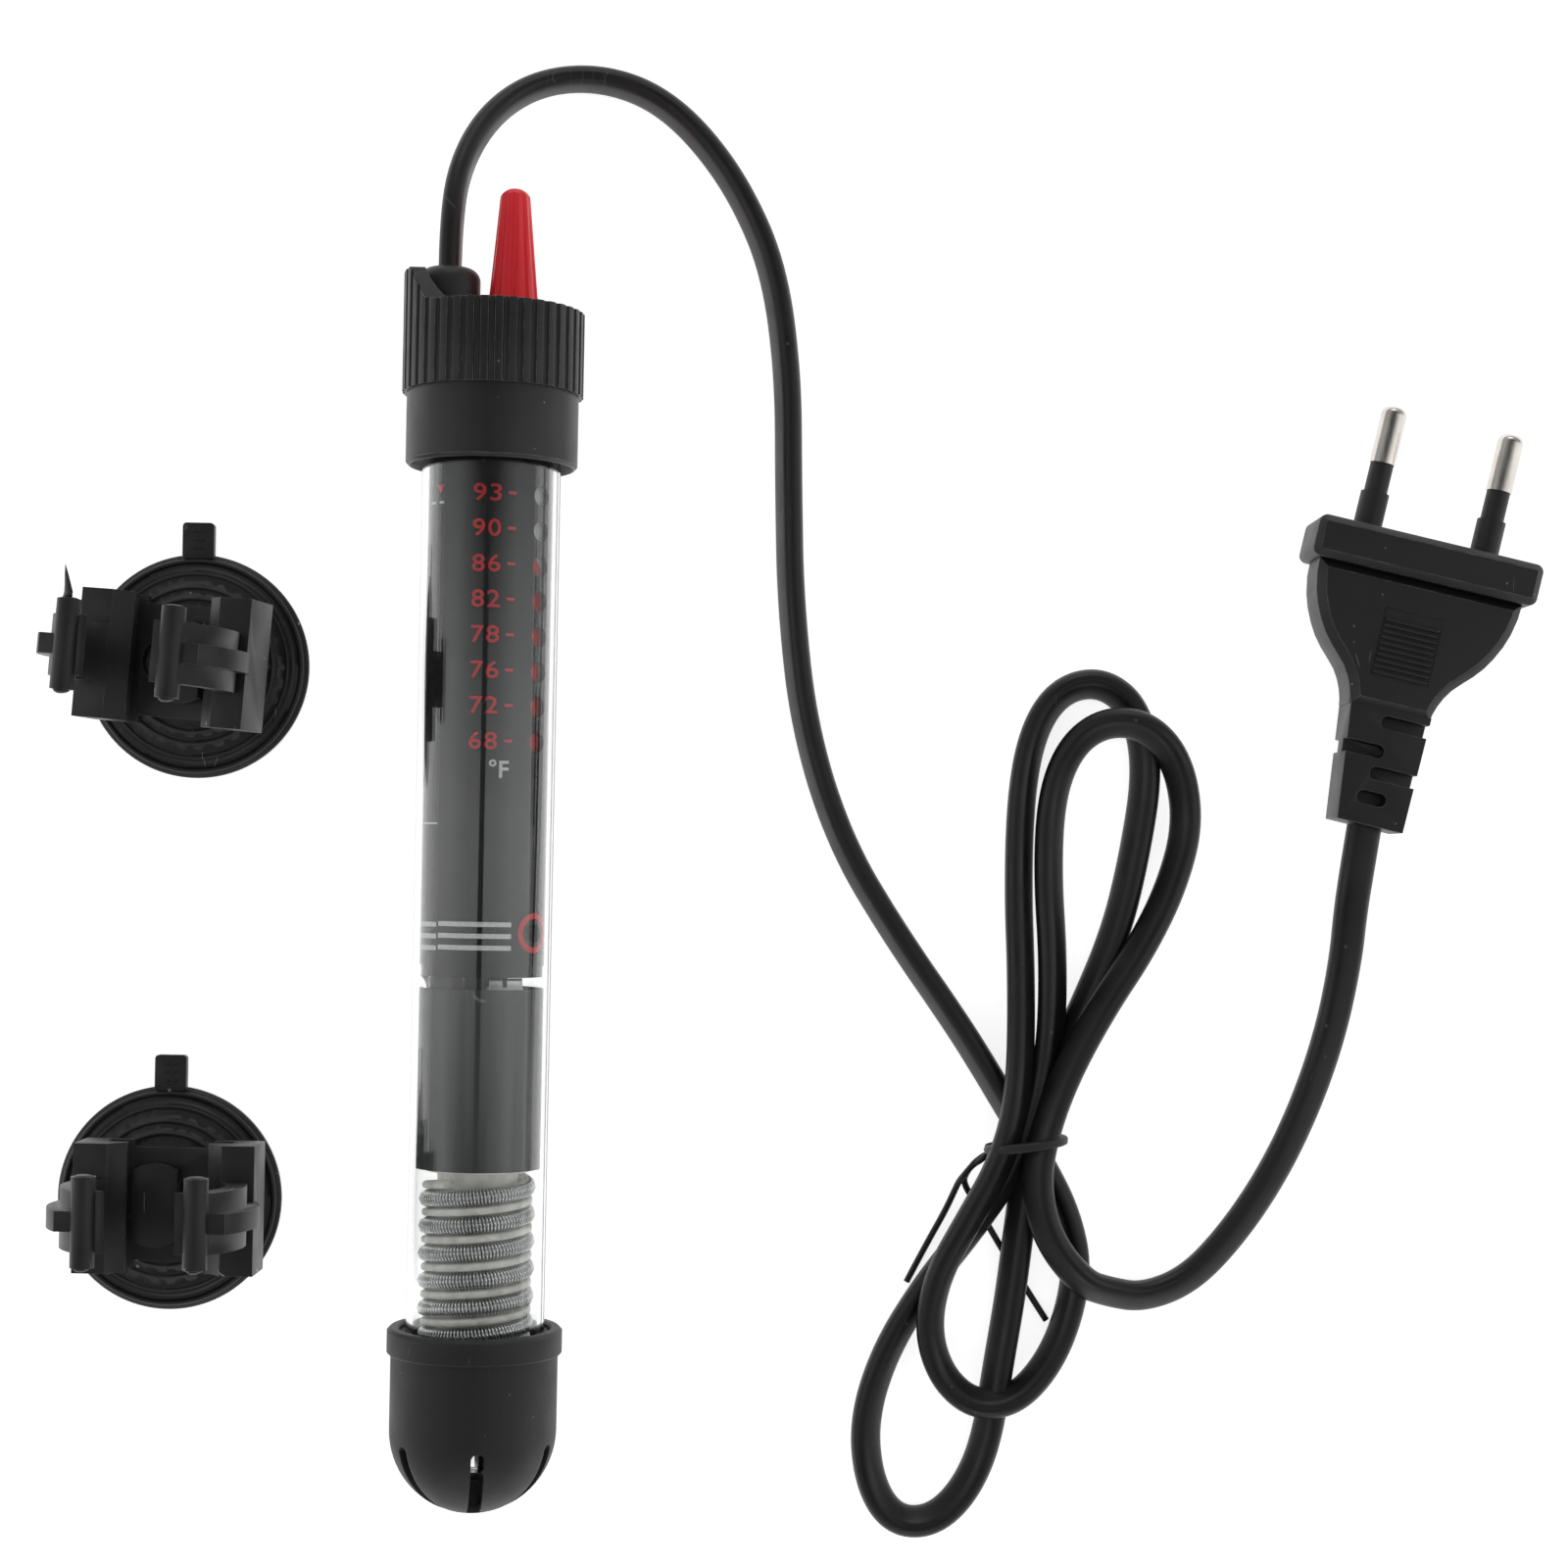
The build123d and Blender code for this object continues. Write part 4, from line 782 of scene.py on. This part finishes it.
# The twist tie, in millimetres: centre and reach of its band, then the knot and the two tails
TIE_CENTRE = (110.6, -43.8, 5.9)
TIE_REACH = (6.15, 0.9, 5.0)
TIE_FLOOR = 0.75
TIE_KNOT = [
    (105.2, -45.2, 4.2), (104.0, -46.4, 4.8), (102.6, -47.4, 3.6), (101.4, -48.8, 4.2), (100.6, -50.0, 3.0)]
TIE_TAIL = [(100.0, -51.6, 2.0), (98.6, -55.0, 1.2), (95.6, -60.6, 0.9), (92.8, -66.2, 0.8)]
TIE_OTHER = [
    (104.6, -45.8, 3.2), (103.0, -46.6, 4.4), (101.8, -48.6, 3.2), (101.2, -50.2, 2.4),
    (103.2, -53.4, 1.0), (107.4, -60.4, 0.75), (111.2, -66.4, 0.75), (114.8, -71.8, 0.8),
]


class HEATER_OT_tie(bpy.types.Operator):
    """Wrap the twist tie round the hank's waist and leave its two tails"""
    bl_idname = "heater.tie"
    bl_label = "Twist tie"

    def execute(self, context):
        band = []
        for dy in (0.5, -0.5):
            for k in range(12):
                a = math.tau * k / 12 + math.radians(200)
                x = TIE_CENTRE[0] + TIE_REACH[0] * math.cos(a)
                z = TIE_CENTRE[2] + TIE_REACH[2] * math.sin(a)
                y = TIE_CENTRE[1] + dy * 0.4 + TIE_REACH[1] * math.cos(a)
                band.append((x, y, max(z, TIE_FLOOR)))
        parts = []
        for name, points, r in (("band", band + TIE_KNOT + TIE_TAIL, 0.62), ("end", TIE_OTHER, 0.55)):
            guide = spline_object(name, metres(points), resolution=8)
            line = curve_line(guide)
            bpy.data.objects.remove(guide)
            parts.append(swept(line, r * MM, 10, flat=0.8))
        mesh = mesh_from("hank_twist_tie", *joined(parts))
        piece = new_piece("hank_twist_tie", mesh, "tie_black", "heater")
        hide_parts("hank_tie")
        return {"FINISHED"}


# ---------------------------------------------------------------- heating element
COIL_PHASE = 150
COIL_OUTER_R = 8.85 * MM
# The former's core and the section of its rib, as radius and station in millimetres
FORMER_CORE = [
    (2.05, 17.2), (2.25, 17.0), (8.0, 17.0), (8.3, 17.3), (8.3, 18.7), (8.0, 19.0), (6.1, 19.0),
    (6.1, 52.0), (8.0, 52.0), (8.3, 52.3), (8.3, 53.7), (8.0, 54.0), (2.25, 54.0), (2.05, 53.8),
]
FORMER_RIB = (
    (5.9, -0.75), (7.9, -0.56), (8.22, -0.44), (8.36, -0.2),
    (8.36, 0.2), (8.22, 0.44), (7.9, 0.56), (5.9, 0.75),
)


def coil_span(sizes):
    """Length of the wound part along the former, in metres, and its number of turns."""
    span = (COIL_END - COIL_START) * MM - sizes.strand
    return span, span / sizes.coil_pitch


class HEATER_OT_coil(bpy.types.Operator):
    """Wind the fine wire into a strand and the strand round the former"""
    bl_idname = "heater.coil"
    bl_label = "Heating coil"

    def execute(self, context):
        sizes = context.scene.heater_sizes
        reach = COIL_OUTER_R - sizes.strand / 2
        span, turns = coil_span(sizes)
        length = turns * math.hypot(math.tau * reach, sizes.coil_pitch)
        small = length / sizes.wire_pitch
        steps = 9
        strand_r = sizes.strand / 2 - sizes.wire / 2
        slope = math.atan2(sizes.coil_pitch, math.tau * reach)
        line = []
        for i in range(int(small * steps)):
            t = i / (small * steps)
            big = math.tau * turns * t + math.radians(COIL_PHASE)
            out = Vector((math.sin(big), 0, math.cos(big)))
            level = math.cos(slope)
            along = Vector((math.cos(big) * level, math.sin(slope), -math.sin(big) * level))
            up = along.cross(out)
            y = POLE_Y + COIL_START * MM + sizes.strand / 2 + span * t
            centre = Vector((AXIS_X, y, AXIS_Z)) + out * reach
            turn = math.tau * i / steps
            line.append(centre + (out * math.cos(turn) + up * math.sin(turn)) * strand_r)
        verts, faces = swept(line, sizes.wire / 2, sizes.wire_sides)
        coil = new_piece("wound_wire", mesh_from("wound_wire", verts, faces), "resistance_wire", "heater")
        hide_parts("heating_coil")
        return {"FINISHED"}


class HEATER_OT_former(bpy.types.Operator):
    """Press the ceramic former with its helical rib between the coil's turns"""
    bl_idname = "heater.former"
    bl_label = "Ceramic former"

    def execute(self, context):
        sizes = context.scene.heater_sizes
        core = turned(FORMER_CORE)
        span, turns = coil_span(sizes)
        phase = math.radians(COIL_PHASE) + math.pi
        steps = int(turns * 72)
        verts = []
        for i in range(steps + 1):
            t = i / steps
            a = phase + math.tau * turns * t
            s = COIL_START + (sizes.strand / 2 + span * t) / MM
            verts.extend(on_tube(a, s + ds, r * MM) for r, ds in FORMER_RIB)
        n = len(FORMER_RIB)
        faces = tube_faces(steps + 1, n)
        faces.append(tuple(range(n)))
        faces.append(tuple(reversed(range(steps * n, steps * n + n))))
        mesh = mesh_from("ribbed_former", *joined([core, (verts, faces)]))
        mesh.set_sharp_from_angle(angle=math.radians(50))
        piece = new_piece("ribbed_former", mesh, "former_ceramic", "heater")
        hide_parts("ceramic_former")
        return {"FINISHED"}


# The strap, as station and radius in millimetres, and the wrap's two faces and two ends
STRAP = ((78.6, 8.82), (79.4, 8.80), (80.0, 8.55), (80.8, 8.50), (81.3, 8.50))
STRAP_THICK = 0.3
WRAP_RADII = (8.35, 7.95)
WRAP_STATIONS = (79.0, 81.6)


class HEATER_OT_inner_metal(bpy.types.Operator):
    """Add the strap and the dark wrap between the shield and the end flange"""
    bl_idname = "heater.inner_metal"
    bl_label = "Strap and wrap"

    def execute(self, context):
        verts, faces = [], []
        angles = [math.radians(14 + 3 * k) for k in range(13)]
        for thick in (0.0, STRAP_THICK):
            for s, r in STRAP:
                for a in angles:
                    verts.append(on_tube(a, s, (r - thick) * MM))
        n, m = len(angles), len(STRAP)
        for layer in range(2):
            for i in range(m - 1):
                for k in range(n - 1):
                    a = layer * n * m + i * n + k
                    face = (a, a + 1, a + n + 1, a + n)
                    faces.append(face if layer else tuple(reversed(face)))
        rim = list(range(n)) + [i * n + n - 1 for i in range(1, m)]
        rim += [(m - 1) * n + k for k in range(n - 2, -1, -1)] + [i * n for i in range(m - 2, 0, -1)]
        for a, b in zip(rim, rim[1:] + rim[:1]):
            faces.append((a, b, b + n * m, a + n * m))
        new_piece("shield_strap", mesh_from("shield_strap", verts, faces), "spring_steel", "heater")
        # A dark, faintly wavy mica wrap between the shield and the end flange
        arc = [math.radians(-58 + 2.5 * k) for k in range(28)]
        shell_v, shell_f = [], []
        for r in WRAP_RADII:
            for s in WRAP_STATIONS:
                for a in arc:
                    shell_v.append(on_tube(a, s + 0.12 * math.sin(9 * a), r * MM))
        n = len(arc)
        for k in range(n - 1):
            shell_f.append((k, k + 1, n + k + 1, n + k))
            shell_f.append((2 * n + k, 3 * n + k, 3 * n + k + 1, 2 * n + k + 1))
            shell_f.append((k, 2 * n + k, 2 * n + k + 1, k + 1))
            shell_f.append((n + k, n + k + 1, 3 * n + k + 1, 3 * n + k))
        shell_f.append((0, n, 3 * n, 2 * n))
        shell_f.append((n - 1, 3 * n - 1, 4 * n - 1, 2 * n - 1))
        mesh = mesh_from("mica_wrap", shell_v, shell_f, smooth=False)
        new_piece("mica_wrap", mesh, "shield_grey", "heater")
        return {"FINISHED"}


# ---------------------------------------------------------------- label printing
PRINT_R = LABEL_R + 0.02 * MM
LAP_R = LABEL_R + 0.045 * MM
LAP_PRINT_R = LABEL_R + 0.065 * MM
DIGITS_WIDTH = 4.1 * MM
RING_INNER, RING_OUTER = 2.15, 3.0
LINE_STATIONS = (89.35, 87.6, 85.85)
LAP_LINE_DROP = 0.15
LINE_HALF = 0.36


def wrapped(mesh, name, ink_slot, radius=PRINT_R, thickness=0.015):
    """Bends a flat mesh in metres, whose x runs round the label and y along it, onto the label."""
    work = bmesh.new()
    work.from_mesh(mesh)
    bmesh.ops.triangulate(work, faces=work.faces)
    for _ in range(4):
        long_edges = [e for e in work.edges if abs(e.verts[0].co.x - e.verts[1].co.x) > 0.5 * MM]
        if not long_edges:
            break
        bmesh.ops.subdivide_edges(work, edges=long_edges, cuts=1)
        bmesh.ops.triangulate(work, faces=work.faces)
    bmesh.ops.remove_doubles(work, verts=work.verts, dist=1e-6)
    top = list(work.faces)
    lower = bmesh.ops.duplicate(work, geom=work.verts[:] + work.edges[:] + work.faces[:])
    for v in work.verts:
        v.co.z = radius
    for item in lower["geom"]:
        if isinstance(item, bmesh.types.BMVert):
            item.co.z = radius - thickness * MM
        elif isinstance(item, bmesh.types.BMFace):
            item.normal_flip()
    # Edges are taken in the faces' own order, so that every run builds the same mesh
    rim = [e for e in dict.fromkeys(edge for face in top for edge in face.edges) if e.is_boundary]
    pairs = lower["vert_map"]
    for e in rim:
        a, b = e.verts
        c, d = pairs[a], pairs[b]
        work.faces.new((b, a, c, d))
    for v in work.verts:
        place = on_tube(v.co.x / radius, 0.0, v.co.z)
        v.co = Vector((place.x, POLE_Y + v.co.y, place.z))
    bmesh.ops.recalc_face_normals(work, faces=work.faces)
    final = bpy.data.meshes.new(name)
    work.to_mesh(final)
    work.free()
    return new_piece(name, final, "sleeve_black", "heater", ink_name=ink_slot)


def flat_text(body, height, weight, spacing=1.0):
    """Flat mesh of a few characters, its lower left corner at the origin."""
    data = bpy.data.curves.new("characters", "FONT")
    data.body = body
    data.space_character = spacing
    data.offset = weight
    data.resolution_u = 6
    made = bpy.data.objects.new("characters", data)
    bpy.context.scene.collection.objects.link(made)
    bpy.context.view_layer.update()
    mesh = bpy.data.meshes.new_from_object(made)
    bpy.data.objects.remove(made)
    low = Vector((min(v.co.x for v in mesh.vertices), min(v.co.y for v in mesh.vertices), 0))
    tall = max(v.co.y for v in mesh.vertices) - low.y
    for v in mesh.vertices:
        p = (v.co - low) * (height / tall)
        v.co = (p.x, p.y, 0)
    return mesh


def add_flat(work, mesh, dx, dy):
    """Adds a flat mesh to a bmesh at a place in metres."""
    copy = mesh.copy()
    copy.transform(Matrix.Translation((dx, dy, 0)))
    work.from_mesh(copy)
    bpy.data.meshes.remove(copy)


def add_box(work, x0, x1, y0, y1):
    corners = [work.verts.new((x * MM, y * MM, 0)) for x, y in ((x0, y0), (x1, y0), (x1, y1), (x0, y1))]
    work.faces.new(corners)


def to_mesh(work, name):
    mesh = bpy.data.meshes.new(name)
    work.to_mesh(mesh)
    work.free()
    return mesh


class HEATER_OT_label(bpy.types.Operator):
    """Print the scale, its dashes, the lamp's ring and the lines on the sleeve"""
    bl_idname = "heater.label"
    bl_label = "Label printing"

    def execute(self, context):
        height = context.scene.heater_sizes.digit_height
        red = bmesh.new()
        for degrees, station in SCALE:
            digits = flat_text(str(degrees), height, 0.012, spacing=1.12)
            wide = max(v.co.x for v in digits.vertices)
            scale = DIGITS_WIDTH / wide
            for v in digits.vertices:
                v.co.x *= scale
            add_flat(red, digits, -1.55 * MM, station * MM - height / 2)
            bpy.data.meshes.remove(digits)
            add_box(red, 3.55, 4.75, station - 0.2, station + 0.22)
        wrapped(to_mesh(red, "scale_digits"), "scale_digits", "ink_red")

        ring = bmesh.new()
        centre = math.radians(WINDOW_ANGLE) * LABEL_R / MM
        inner, outer = [], []
        for k in range(64):
            a = math.tau * k / 64
            for row, r in ((inner, RING_INNER), (outer, RING_OUTER)):
                row.append(ring.verts.new((
                    (centre + r * math.cos(a)) * MM, (LAMP_STATION + r * math.sin(a)) * MM, 0)))
        for k in range(64):
            n = (k + 1) % 64
            ring.faces.new((inner[k], outer[k], outer[n], inner[n]))
        wrapped(to_mesh(ring, "lamp_ring"), "lamp_ring", "ink_red")

        white = bmesh.new()
        unit = flat_text("°F", 2.75 * MM, 0.018)
        add_flat(white, unit, 1.45 * MM, 111.15 * MM)
        bpy.data.meshes.remove(unit)
        for station in LINE_STATIONS:
            add_box(white, -5.95, 5.25, station - LINE_HALF, station + LINE_HALF)
        wrapped(to_mesh(white, "unit_and_lines"), "unit_and_lines", "ink_white")

        lap = bmesh.new()
        for station in LINE_STATIONS:
            lower = station - LAP_LINE_DROP
            add_box(lap, -15.5, -6.3, lower - LINE_HALF, lower + LINE_HALF)
        add_box(lap, -12.0, -6.5, 104.15, 104.4)
        add_box(lap, -9.3, -8.1, 152.0, 152.35)
        add_box(lap, -7.3, -6.35, 152.0, 152.35)
        wrapped(to_mesh(lap, "lap_lines"), "lap_lines", "ink_white", radius=LAP_PRINT_R)

        # Mark of the lowest water line, pointing down
        mark = bmesh.new()
        corners = ((-7.1, 153.5), (-6.35, 154.8), (-7.85, 154.8))
        mark.faces.new([mark.verts.new((x * MM, y * MM, 0)) for x, y in corners])
        wrapped(to_mesh(mark, "level_mark"), "level_mark", "ink_red", radius=LAP_PRINT_R)

        # The film's overlap on the left: a second turn with a straight edge
        flap = bmesh.new()
        add_box(flap, -27.0, -6.15, LABEL_START + 0.05, LABEL_END - 0.05)
        wrapped(to_mesh(flap, "label_lap"), "label_lap", "sleeve_black", radius=LAP_R, thickness=0.035)
        return {"FINISHED"}


# ---------------------------------------------------------------- mouldings
def local_frame(origin, turn, lean):
    """Matrix of a clip's own axes: turned clockwise from above and leaned to the left, in degrees."""
    t, n = math.radians(turn), math.radians(lean)
    right = Vector((math.cos(t), -math.sin(t), 0))
    z_axis = UP * math.cos(n) - right * math.sin(n)
    x_axis = right * math.cos(n) + UP * math.sin(n)
    y_axis = z_axis.cross(x_axis)
    made = Matrix((x_axis, y_axis, z_axis)).transposed().to_4x4()
    made.translation = origin
    return made


def place_local(matrix, points):
    return [matrix @ (Vector(p) * MM) for p in points]


def nub(matrix, centre, radius, height, seed, sides=14, pull=(0.0, 0.0)):
    """A torn sprue nub: a low rough dome on a surface, its axis along local y."""
    rng = random.Random(seed)
    verts = []
    rings = 4
    for i in range(rings):
        t = i / rings
        for k in range(sides):
            a = math.tau * k / sides
            r = radius * math.cos(t * math.pi / 2) * rng.uniform(0.9, 1.1)
            verts.append((centre[0] + r * math.cos(a) + pull[0] * t,
                          centre[1] + height * math.sin(t * math.pi / 2),
                          centre[2] + r * math.sin(a) + pull[1] * t))
    verts.append((centre[0] + pull[0], centre[1] + height, centre[2] + pull[1]))
    faces = tube_faces(rings, sides)
    for k in range(sides):
        m = (k + 1) % sides
        faces.append(((rings - 1) * sides + k, (rings - 1) * sides + m, len(verts) - 1))
    faces.append(tuple(reversed(range(sides))))
    return place_local(matrix, verts), faces


# name, cup's centre, clip's shift along its slot, clip's turn and lean
BRACKETS = (
    ("upper", (-20.2, 28.0), -0.9, 4.0, 11.0),
    ("lower", (-22.9, -55.3), 2.4, 0.0, 0.0),
)
PLATE_HEIGHT = 9.0
# The upper clip's flash spike
SPIKE = [(-8.4, 6.6, 22.6), (-8.2, 7.6, 22.8), (-8.5, 8.8, 22.7), (-8.95, 10.4, 22.5), (-9.3, 11.6, 22.3)]
SPIKE_RADII = [r * MM for r in (1.1, 1.0, 0.72, 0.4, 0.08)]
PLUG_AT = (169.6, 47.1, 6.85)
PLUG_TURN = 12.4


class HEATER_OT_housings(bpy.types.Operator):
    """Round the moulded edges of the guard, collar, gland, knob and stopper"""
    bl_idname = "heater.housings"
    bl_label = "Guard, collar, gland, knob and stopper"

    def execute(self, context):
        for name, solid, body, slot, width in (
            ("guard_shell", "guard", "guard", "guard_black", 0.22),
            ("collar_shell", "collar", "heater", "collar_black", 0.18),
            ("gland_boot", "cord_gland", "heater", "gland_rubber", 0.3),
            ("knob_cap", "control_knob", "knob", "knob_red", 0.14),
            ("head_stopper", "head_plug", "heater", "black_rubber", 0.15),
        ):
            softened(name, solid, body, slot, width)
        return {"FINISHED"}


class HEATER_OT_brackets(bpy.types.Operator):
    """Round the suction cups and clips and add their mould marks"""
    bl_idname = "heater.brackets"
    bl_label = "Suction cups and clips"

    def execute(self, context):
        for side, cup, shift, turn, lean in BRACKETS:
            softened("cup_" + side + "_rubber", "suction_cup_" + side, "cup_" + side, "cup_rubber", 0.22)
            softened("clip_" + side + "_shell", "clip_" + side, "clip_" + side, "clip_black", 0.2)
            t = math.radians(turn)
            right = Vector((math.cos(t), -math.sin(t), 0))
            origin = Vector((cup[0], cup[1], PLATE_HEIGHT)) * MM + right * shift * MM
            matrix = local_frame(origin, turn, lean)
            # Tab marks: three short bars each side of the mould line
            tab = Matrix.Translation(Vector((cup[0], cup[1], 0)) * MM)
            marks = []
            for dy in (18.4, 19.7, 21.0):
                for dx in (-0.62, 0.62):
                    line = place_local(tab, [(dx - 0.42, dy, 1.72), (dx, dy, 1.80), (dx + 0.42, dy, 1.72)])
                    marks.append(swept(line, 0.13 * MM, 8))
            seam = place_local(tab, [(0.0, 22.3, 1.73), (0.05, 19.0, 1.76), (0.0, 17.4, 1.2)])
            marks.append(swept(seam, 0.07 * MM, 6))
            new_piece("tab_marks_" + side, mesh_from("tab_marks_" + side, *joined(marks)), "cup_rubber",
                      "cup_" + side)
            ends = []
            for k, dx in enumerate((-8.2, 8.2)):
                ends.append(nub(matrix, (dx, 6.6, 22.2), 1.5, 0.35, 11 + k))
                flip = matrix @ Matrix.Rotation(math.pi, 4, "Z")
                ends.append(nub(flip, (-dx, 6.6, 22.2), 1.25, 0.7, 23 + k, pull=(0.2, 0.3)))
            if side == "upper":
                ends.append(swept(place_local(matrix, SPIKE), SPIKE_RADII, 10, flat=0.45))
            new_piece("bar_ends_" + side, mesh_from("bar_ends_" + side, *joined(ends)), "clip_black",
                      "clip_" + side)
        return {"FINISHED"}


class HEATER_OT_plug(bpy.types.Operator):
    """Round the plug's edges and add the ribbed grip and its panel"""
    bl_idname = "heater.plug"
    bl_label = "Plug"

    def execute(self, context):
        softened("plug_shell", "plug_body", "heater", "plug_black", 0.45, segments=3, angle=24.0)
        matrix = Matrix.Rotation(-math.radians(PLUG_TURN), 4, "Z")
        matrix.translation = Vector(PLUG_AT) * MM
        for name, sign in (("grip_top", 1), ("grip_bottom", -1)):
            parts = []
            for k in range(10):
                y = -10.3 - 0.9 * k
                half = 4.4
                line = [(-half, y, sign * 5.35), (-half + 0.5, y, sign * 5.62), (half - 0.5, y, sign * 5.62),
                        (half, y, sign * 5.35)]
                parts.append(swept(place_local(matrix, line), 0.27 * MM, 8))
            frame_line = [(-4.5, -8.45, 5.36), (4.5, -8.45, 5.36), (4.6, -18.9, 5.36), (-4.5, -18.9, 5.36),
                          (-4.5, -8.45, 5.36)]
            outline = [(x, y, sign * z) for x, y, z in frame_line]
            parts.append(swept(place_local(matrix, outline), 0.14 * MM, 6))
            new_piece(name, mesh_from(name, *joined(parts)), "plug_black", "heater")
        return {"FINISHED"}


class HEATER_OT_finishes(bpy.types.Operator):
    """Make every finish and give the carried-over solids theirs"""
    bl_idname = "heater.finishes"
    bl_label = "Finishes"

    def execute(self, context):
        make_grain_group()
        make_wear_group()
        make_dust_group()
        FINISHES.update(make_finishes(context.scene.heater_colours))
        for part in frame["record"]["subparts"]:
            solid = frame["nodes"][part["node"]]
            solid.data.materials.clear()
            solid.data.materials.append(FINISHES[part["material_slot"]])
        return {"FINISHED"}


class HEATER_PT_panel(bpy.types.Panel):
    bl_label = "Aquarium heater"
    bl_idname = "HEATER_PT_panel"
    bl_space_type = "VIEW_3D"
    bl_region_type = "UI"
    bl_category = "Heater"

    def draw(self, context):
        for group in (context.scene.heater_sizes, context.scene.heater_colours):
            box = self.layout.box()
            for key in group.__annotations__:
                box.prop(group, key)
        for step in STEPS:
            self.layout.operator(step.bl_idname)


STEPS = (
    HEATER_OT_finishes,
    HEATER_OT_stage,
    HEATER_OT_plug,
    HEATER_OT_cord,
    HEATER_OT_tie,
    HEATER_OT_coil,
    HEATER_OT_former,
    HEATER_OT_inner_metal,
    HEATER_OT_label,
    HEATER_OT_housings,
    HEATER_OT_brackets,
)
CLASSES = (HeaterSizes, HeaterColours, *STEPS, HEATER_PT_panel)


def register():
    for item in CLASSES:
        bpy.utils.register_class(item)
    bpy.types.Scene.heater_sizes = PointerProperty(type=HeaterSizes)
    bpy.types.Scene.heater_colours = PointerProperty(type=HeaterColours)


def unregister():
    del bpy.types.Scene.heater_colours
    del bpy.types.Scene.heater_sizes
    for item in reversed(CLASSES):
        bpy.utils.unregister_class(item)


def main():
    register()
    bpy.ops.heater.finishes()
    bpy.ops.heater.stage()
    bpy.ops.heater.plug()
    bpy.ops.heater.cord()
    bpy.ops.heater.tie()
    bpy.ops.heater.coil()
    bpy.ops.heater.former()
    bpy.ops.heater.inner_metal()
    bpy.ops.heater.label()
    bpy.ops.heater.housings()
    bpy.ops.heater.brackets()


if __name__ == "__main__":
    main()
